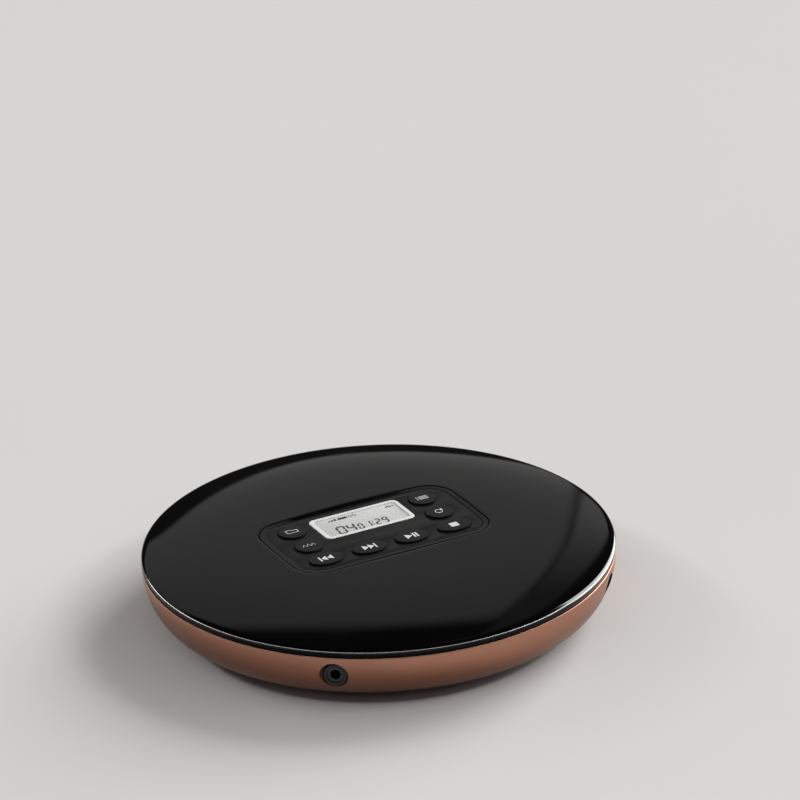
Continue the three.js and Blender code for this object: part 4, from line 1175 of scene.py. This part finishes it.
def case_screw(i, x, y):
    """A case screw with a domed cross head and a threaded shank."""
    low, high = box_mm(f"case_screw_{i}")
    head_r, shank_r, root_r, pitch = 1.9, 0.8, 0.62, 0.55
    rows = above(low.z, [(0, 0), (1.55, 0), (1.82, 0.1), (head_r, 0.3), (head_r, 1.3), (1.7, 1.5),
        (shank_r, 1.5)])
    z = low.z + 1.9
    while z < high.z - 1.3:
        rows += above(z, [(shank_r, 0), (root_r, 0.14), (shank_r, 0.28)])
        z += pitch
    rows += [(shank_r, high.z - 0.9), (0.3, high.z - 0.1), (0, high.z)]
    head = turned(f"case_screw_{i}_steel", rows, "steel_blasted", shift(x, y), 40)
    return stands_for(carve(head, "DIFFERENCE", *cross_recess(x, y, low.z - 0.3, low.z + 0.9)),
        f"case_screw_{i}")


def make_bottom():
    bottom_cover()
    for i, (x, y) in enumerate(FEET):
        foot(i + 1, x, y)
    for i, (x, y) in enumerate(SCREWS):
        case_screw(i + 1, x, y)


# --- disc well
def tray_deck():
    low, rim, outer, under = DECK_LOW.z, DECK_HIGH.z, DECK_HIGH.x, 14.4
    rows = [(7.0, under), (60.2, under), (60.2, 16.6), (outer, 16.6)]
    rows += above(rim, [(outer, -0.25), (outer - 0.08, -0.08), (outer - 0.25, 0), (63.6, 0), (63.45, -0.12),
        (62.9, -0.12), (62.75, 0), (WELL_R + 0.62, 0), (WELL_R + 0.5, -0.1)])
    rows += above(FLOOR_Z, [(WELL_R + 0.08, 0.2), (WELL_R - 0.3, 0), (59.6, 0), (59.4, -0.15),
        (21.2, -0.15), (21.0, 0), (19.4, 0), (19.2, -0.25), (17.2, -0.25), (17.0, 0), (7.2, 0),
        (7.0, -0.15)])
    deck = turned("deck", rows, "matte_black", segments=240)
    well = above(FLOOR_Z, [(0, 0), (WELL_R - 0.3, 0), (WELL_R + 0.08, 0.2)])
    well += above(rim, [(WELL_R + 0.5, -0.1), (WELL_R + 0.5, 1), (0, 1)])
    cup = carve(rod(SCOOP_R + 1.2, under, rim, -SCOOP_X, 0, 96), "DIFFERENCE", spun(well, 0, 0, 240))
    scoop = above(FLOOR_Z, [(0, -0.02), (SCOOP_R - 0.7, -0.02), (SCOOP_R - 0.2, 0.15), (SCOOP_R, 0.7)])
    scoop += above(rim, [(SCOOP_R, -0.4), (SCOOP_R + 0.12, -0.1), (SCOOP_R + 0.5, 0.3), (SCOOP_R + 0.5, 2),
        (0, 2)])
    pickup = plate((13.6, 46, 3), (0, -37.9), 12, 20)
    hinge = plate((2 * DECK_NOTCH_HALF, 20, 0.6), (0, 75.4), 12, 22)
    catch = plate((2.2, 11.2, 0.4), (63.4, 1.5), 14, 22)
    cable = plate((14, 1.3, 0.5), (0, 64.05), 14, 22)
    deck = carve(deck, "UNION", cup)
    deck = carve(deck, "DIFFERENCE", spun(scoop, -SCOOP_X, 0, 96), pickup, hinge, catch, cable)
    post = [(1.0, low), (2.6, low), (2.8, low + 0.25), (2.8, under + 0.2), (1.0, under + 0.2)]
    return stands_for(joined("tray_deck_skin", deck, *[spun(post, x, y) for x, y in SCREWS]), "tray_deck")


# --- disc drive
def make_turntable():
    low = HUB_LOW.z
    body = turned("platter", [(0, low), (0.85, low), (0.9, low + 0.1), (0.9, 15.9), (14.6, 15.9),
        (14.9, 15.96), (15.0, 16.1), (15.0, 16.3), (14.92, 16.38), (14.75, DISC_Z), (14.5, DISC_Z),
        (14.4, 16.28), (9.6, 16.28), (9.5, 16.36), (HUB_R + 0.2, 16.36), (HUB_R, 16.46), (HUB_R, 18.5),
        (7.28, 18.8), (7.05, 19.15), (6.75, 19.34), (6.4, 19.4), (3.4, 19.4), (3.1, 19.2), (1.4, 19.2),
        (1.2, 19.05), (0, 19.05)], "dark_plastic", segments=120)
    pockets = [plate((4.8, 2.8, 0.3), (6.75, 0), 17.65, 19.1, "dark_plastic", turn_z(claw))
        for claw in CLAWS_AT]
    body = carve(body, "DIFFERENCE", *pockets)
    grip = [(9.9, 16.1), (14.2, 16.1), (14.2, 16.34), (14.05, DISC_Z - 0.01), (10.05, DISC_Z - 0.01),
        (9.9, 16.34)]
    shaft = [(0, 18.9), (1.15, 18.9), (1.15, 19.2), (1.0, 19.32), (0.55, 19.36), (0, 19.36)]
    ring = spun(grip, 0, 0, 120, "rubber_black")
    stands_for(joined("turntable_body", body, ring, spun(shaft, 0, 0, 40, "steel_round")), "turntable")


def disc_claw(i, degrees):
    """A spring claw with a rounded nose."""
    side = [(5.0, -1.05), (7.0, -1.05), (7.55, -0.9), (7.85, -0.5)]
    outline = [*side, (7.9, 0.0), *[(x, -y) for x, y in side[::-1]]]
    piece = prism(f"disc_claw_{i}_nose", outline, [], 18.0, 18.8, "gear_white", turn_z(degrees), 0.18, 4)
    return stands_for(piece, f"disc_claw_{i}")


def make_lens():
    low, high = box_mm("pickup_lens")
    r, base = (high.x - low.x) / 2, low.z
    rows = above(base, [(2.35, 0), (r, 0), (r, 1.1), (r - 0.15, 1.3), (2.75, 1.5), (2.5, 1.5), (2.35, 1.3)])
    holder = spun(rows, 0, LENS_Y, 64, "dark_plastic")
    rows = above(base, [(0, 0.2), (LENS_R, 0.2), (LENS_R, 1.1)])
    rows += [(LENS_R * cos(t), base + 1.1 + (high.z - base - 1.12) * sin(t))
        for t in np.linspace(0.1, pi / 2 - 0.08, 9)]
    rows += [(0, high.z - 0.02)]
    stands_for(joined("pickup_lens_unit", holder, spun(rows, 0, LENS_Y, 64, "coated_lens")), "pickup_lens")


def make_drive():
    make_turntable()
    for i, degrees in enumerate(CLAWS_AT):
        disc_claw(i + 1, degrees)
    make_lens()


CLAD_NODES = {
    "rubber_black": ["key_mat", "damper_1", "damper_2", "damper_3", "damper_4"],
    "dark_plastic": ["pickup_sled", "lid_catch", "hold_switch"],
    "steel_x": ["chassis_plate"],
    "steel_y": ["guide_rod_main", "guide_rod_aux"],
    "steel_blasted": ["spindle_motor", "sled_motor"],
    "circuit_board": ["main_board", "lid_board", "volume_board"],
    "battery_film": ["battery_pack"],
    "flex_film": ["lid_flex_cable"],
    "gear_white": ["drive_gear", "motor_pinion"],
}


def clad_frame():
    for material, nodes in CLAD_NODES.items():
        for node in nodes:
            clad(node, material)


# --- studio
ROOM_LIGHT = 0.020
BACKDROP = 0.80
FLOOR_REACH = 6000


def make_world():
    """Soft studio light from every side, with a few panels that show as reflections in the gloss."""
    world = bpy.data.worlds.new("studio")
    bpy.context.scene.world = world
    world.use_nodes = True
    tree = world.node_tree
    tree.nodes.clear()
    x, y, z = axes_of(tree, "Generated")
    degrees = 180 / pi
    elevation = z.math("ARCSINE") * degrees
    around = (y.math("ARCTAN2", x) * degrees + 360.0).math("MODULO", 360.0)

    # grey walls that stop at a soft line above the floor and glow there
    above_line = (elevation - around.ramp(64, 75, 9.0, 21.0)).ramp(-0.8, 0.8)
    glow = (elevation * -1.0 + 9.0).math("MINIMUM", 0.0) * 0.25
    level = glow.math("EXPONENT") * 0.17 + 0.235
    walls = around.band(54.5, 335, 0.6) * above_line * elevation.ramp(39.5, 43.5, 1.0, 0.0) * level

    # a narrow upright panel at the back right, the large key panel at the right, and a thin arch overhead
    panel = around.band(50.6, 54.1, 0.4) * elevation.ramp(13.5, 16.0) * elevation.ramp(18, 38, 0.33, 0.06)
    turned_round = (around + 180.0).math("MODULO", 360.0)
    key = turned_round.band(165, 217, 1.5) * elevation.band(2, 45, 1.5) * turned_round.ramp(160, 196, 1.2,
        7.6)
    away = (around - 240.0) * (1 / 117)
    arch = (elevation + away * away * 30.0) - 55.0
    strip = arch.band(-3.2, 3.2, 0.8) * around.band(104, 343, 2.5)
    strip = strip * (around.ramp(128, 152, 8.0, 4.0) + around.ramp(285, 335, 0.0, 6.0))
    light = walls + panel + key + strip + ROOM_LIGHT

    lit = tree.nodes.new("ShaderNodeBackground")
    tree.links.new(combine(tree, light, light * 0.985, light * 0.97), lit.inputs["Color"])
    seen = tree.nodes.new("ShaderNodeBackground")
    seen.inputs["Color"].default_value = (BACKDROP, BACKDROP, BACKDROP, 1)
    choice = tree.nodes.new("ShaderNodeMixShader")
    tree.links.new(tree.nodes.new("ShaderNodeLightPath").outputs["Is Camera Ray"], choice.inputs[0])
    tree.links.new(lit.outputs[0], choice.inputs[1])
    tree.links.new(seen.outputs[0], choice.inputs[2])
    output = tree.nodes.new("ShaderNodeOutputWorld")
    tree.links.new(choice.outputs[0], output.inputs["Surface"])


def make_floor():
    tree, shader = blank("studio_floor")
    base = mixed(tree, noise(tree, 3.0, 4), (0.74, 0.74, 0.74), (0.78, 0.78, 0.78))
    finish(tree, shader, base, cloud(tree, 9.0, 3, 0.75, 0.85))
    corners = [(x * FLOOR_REACH, y * FLOOR_REACH, 0) for x, y in ((-1, -1), (1, -1), (1, 1), (-1, 1))]
    floor = mesh_piece("floor", corners, [(0, 1, 2, 3)], "studio_floor")


make_camera()
make_materials()
make_lid()
make_side()
make_hinge()
make_bottom()
tray_deck()
make_drive()
clad_frame()
make_world()
make_floor()
bpy.context.scene.view_settings.view_transform = "Standard"
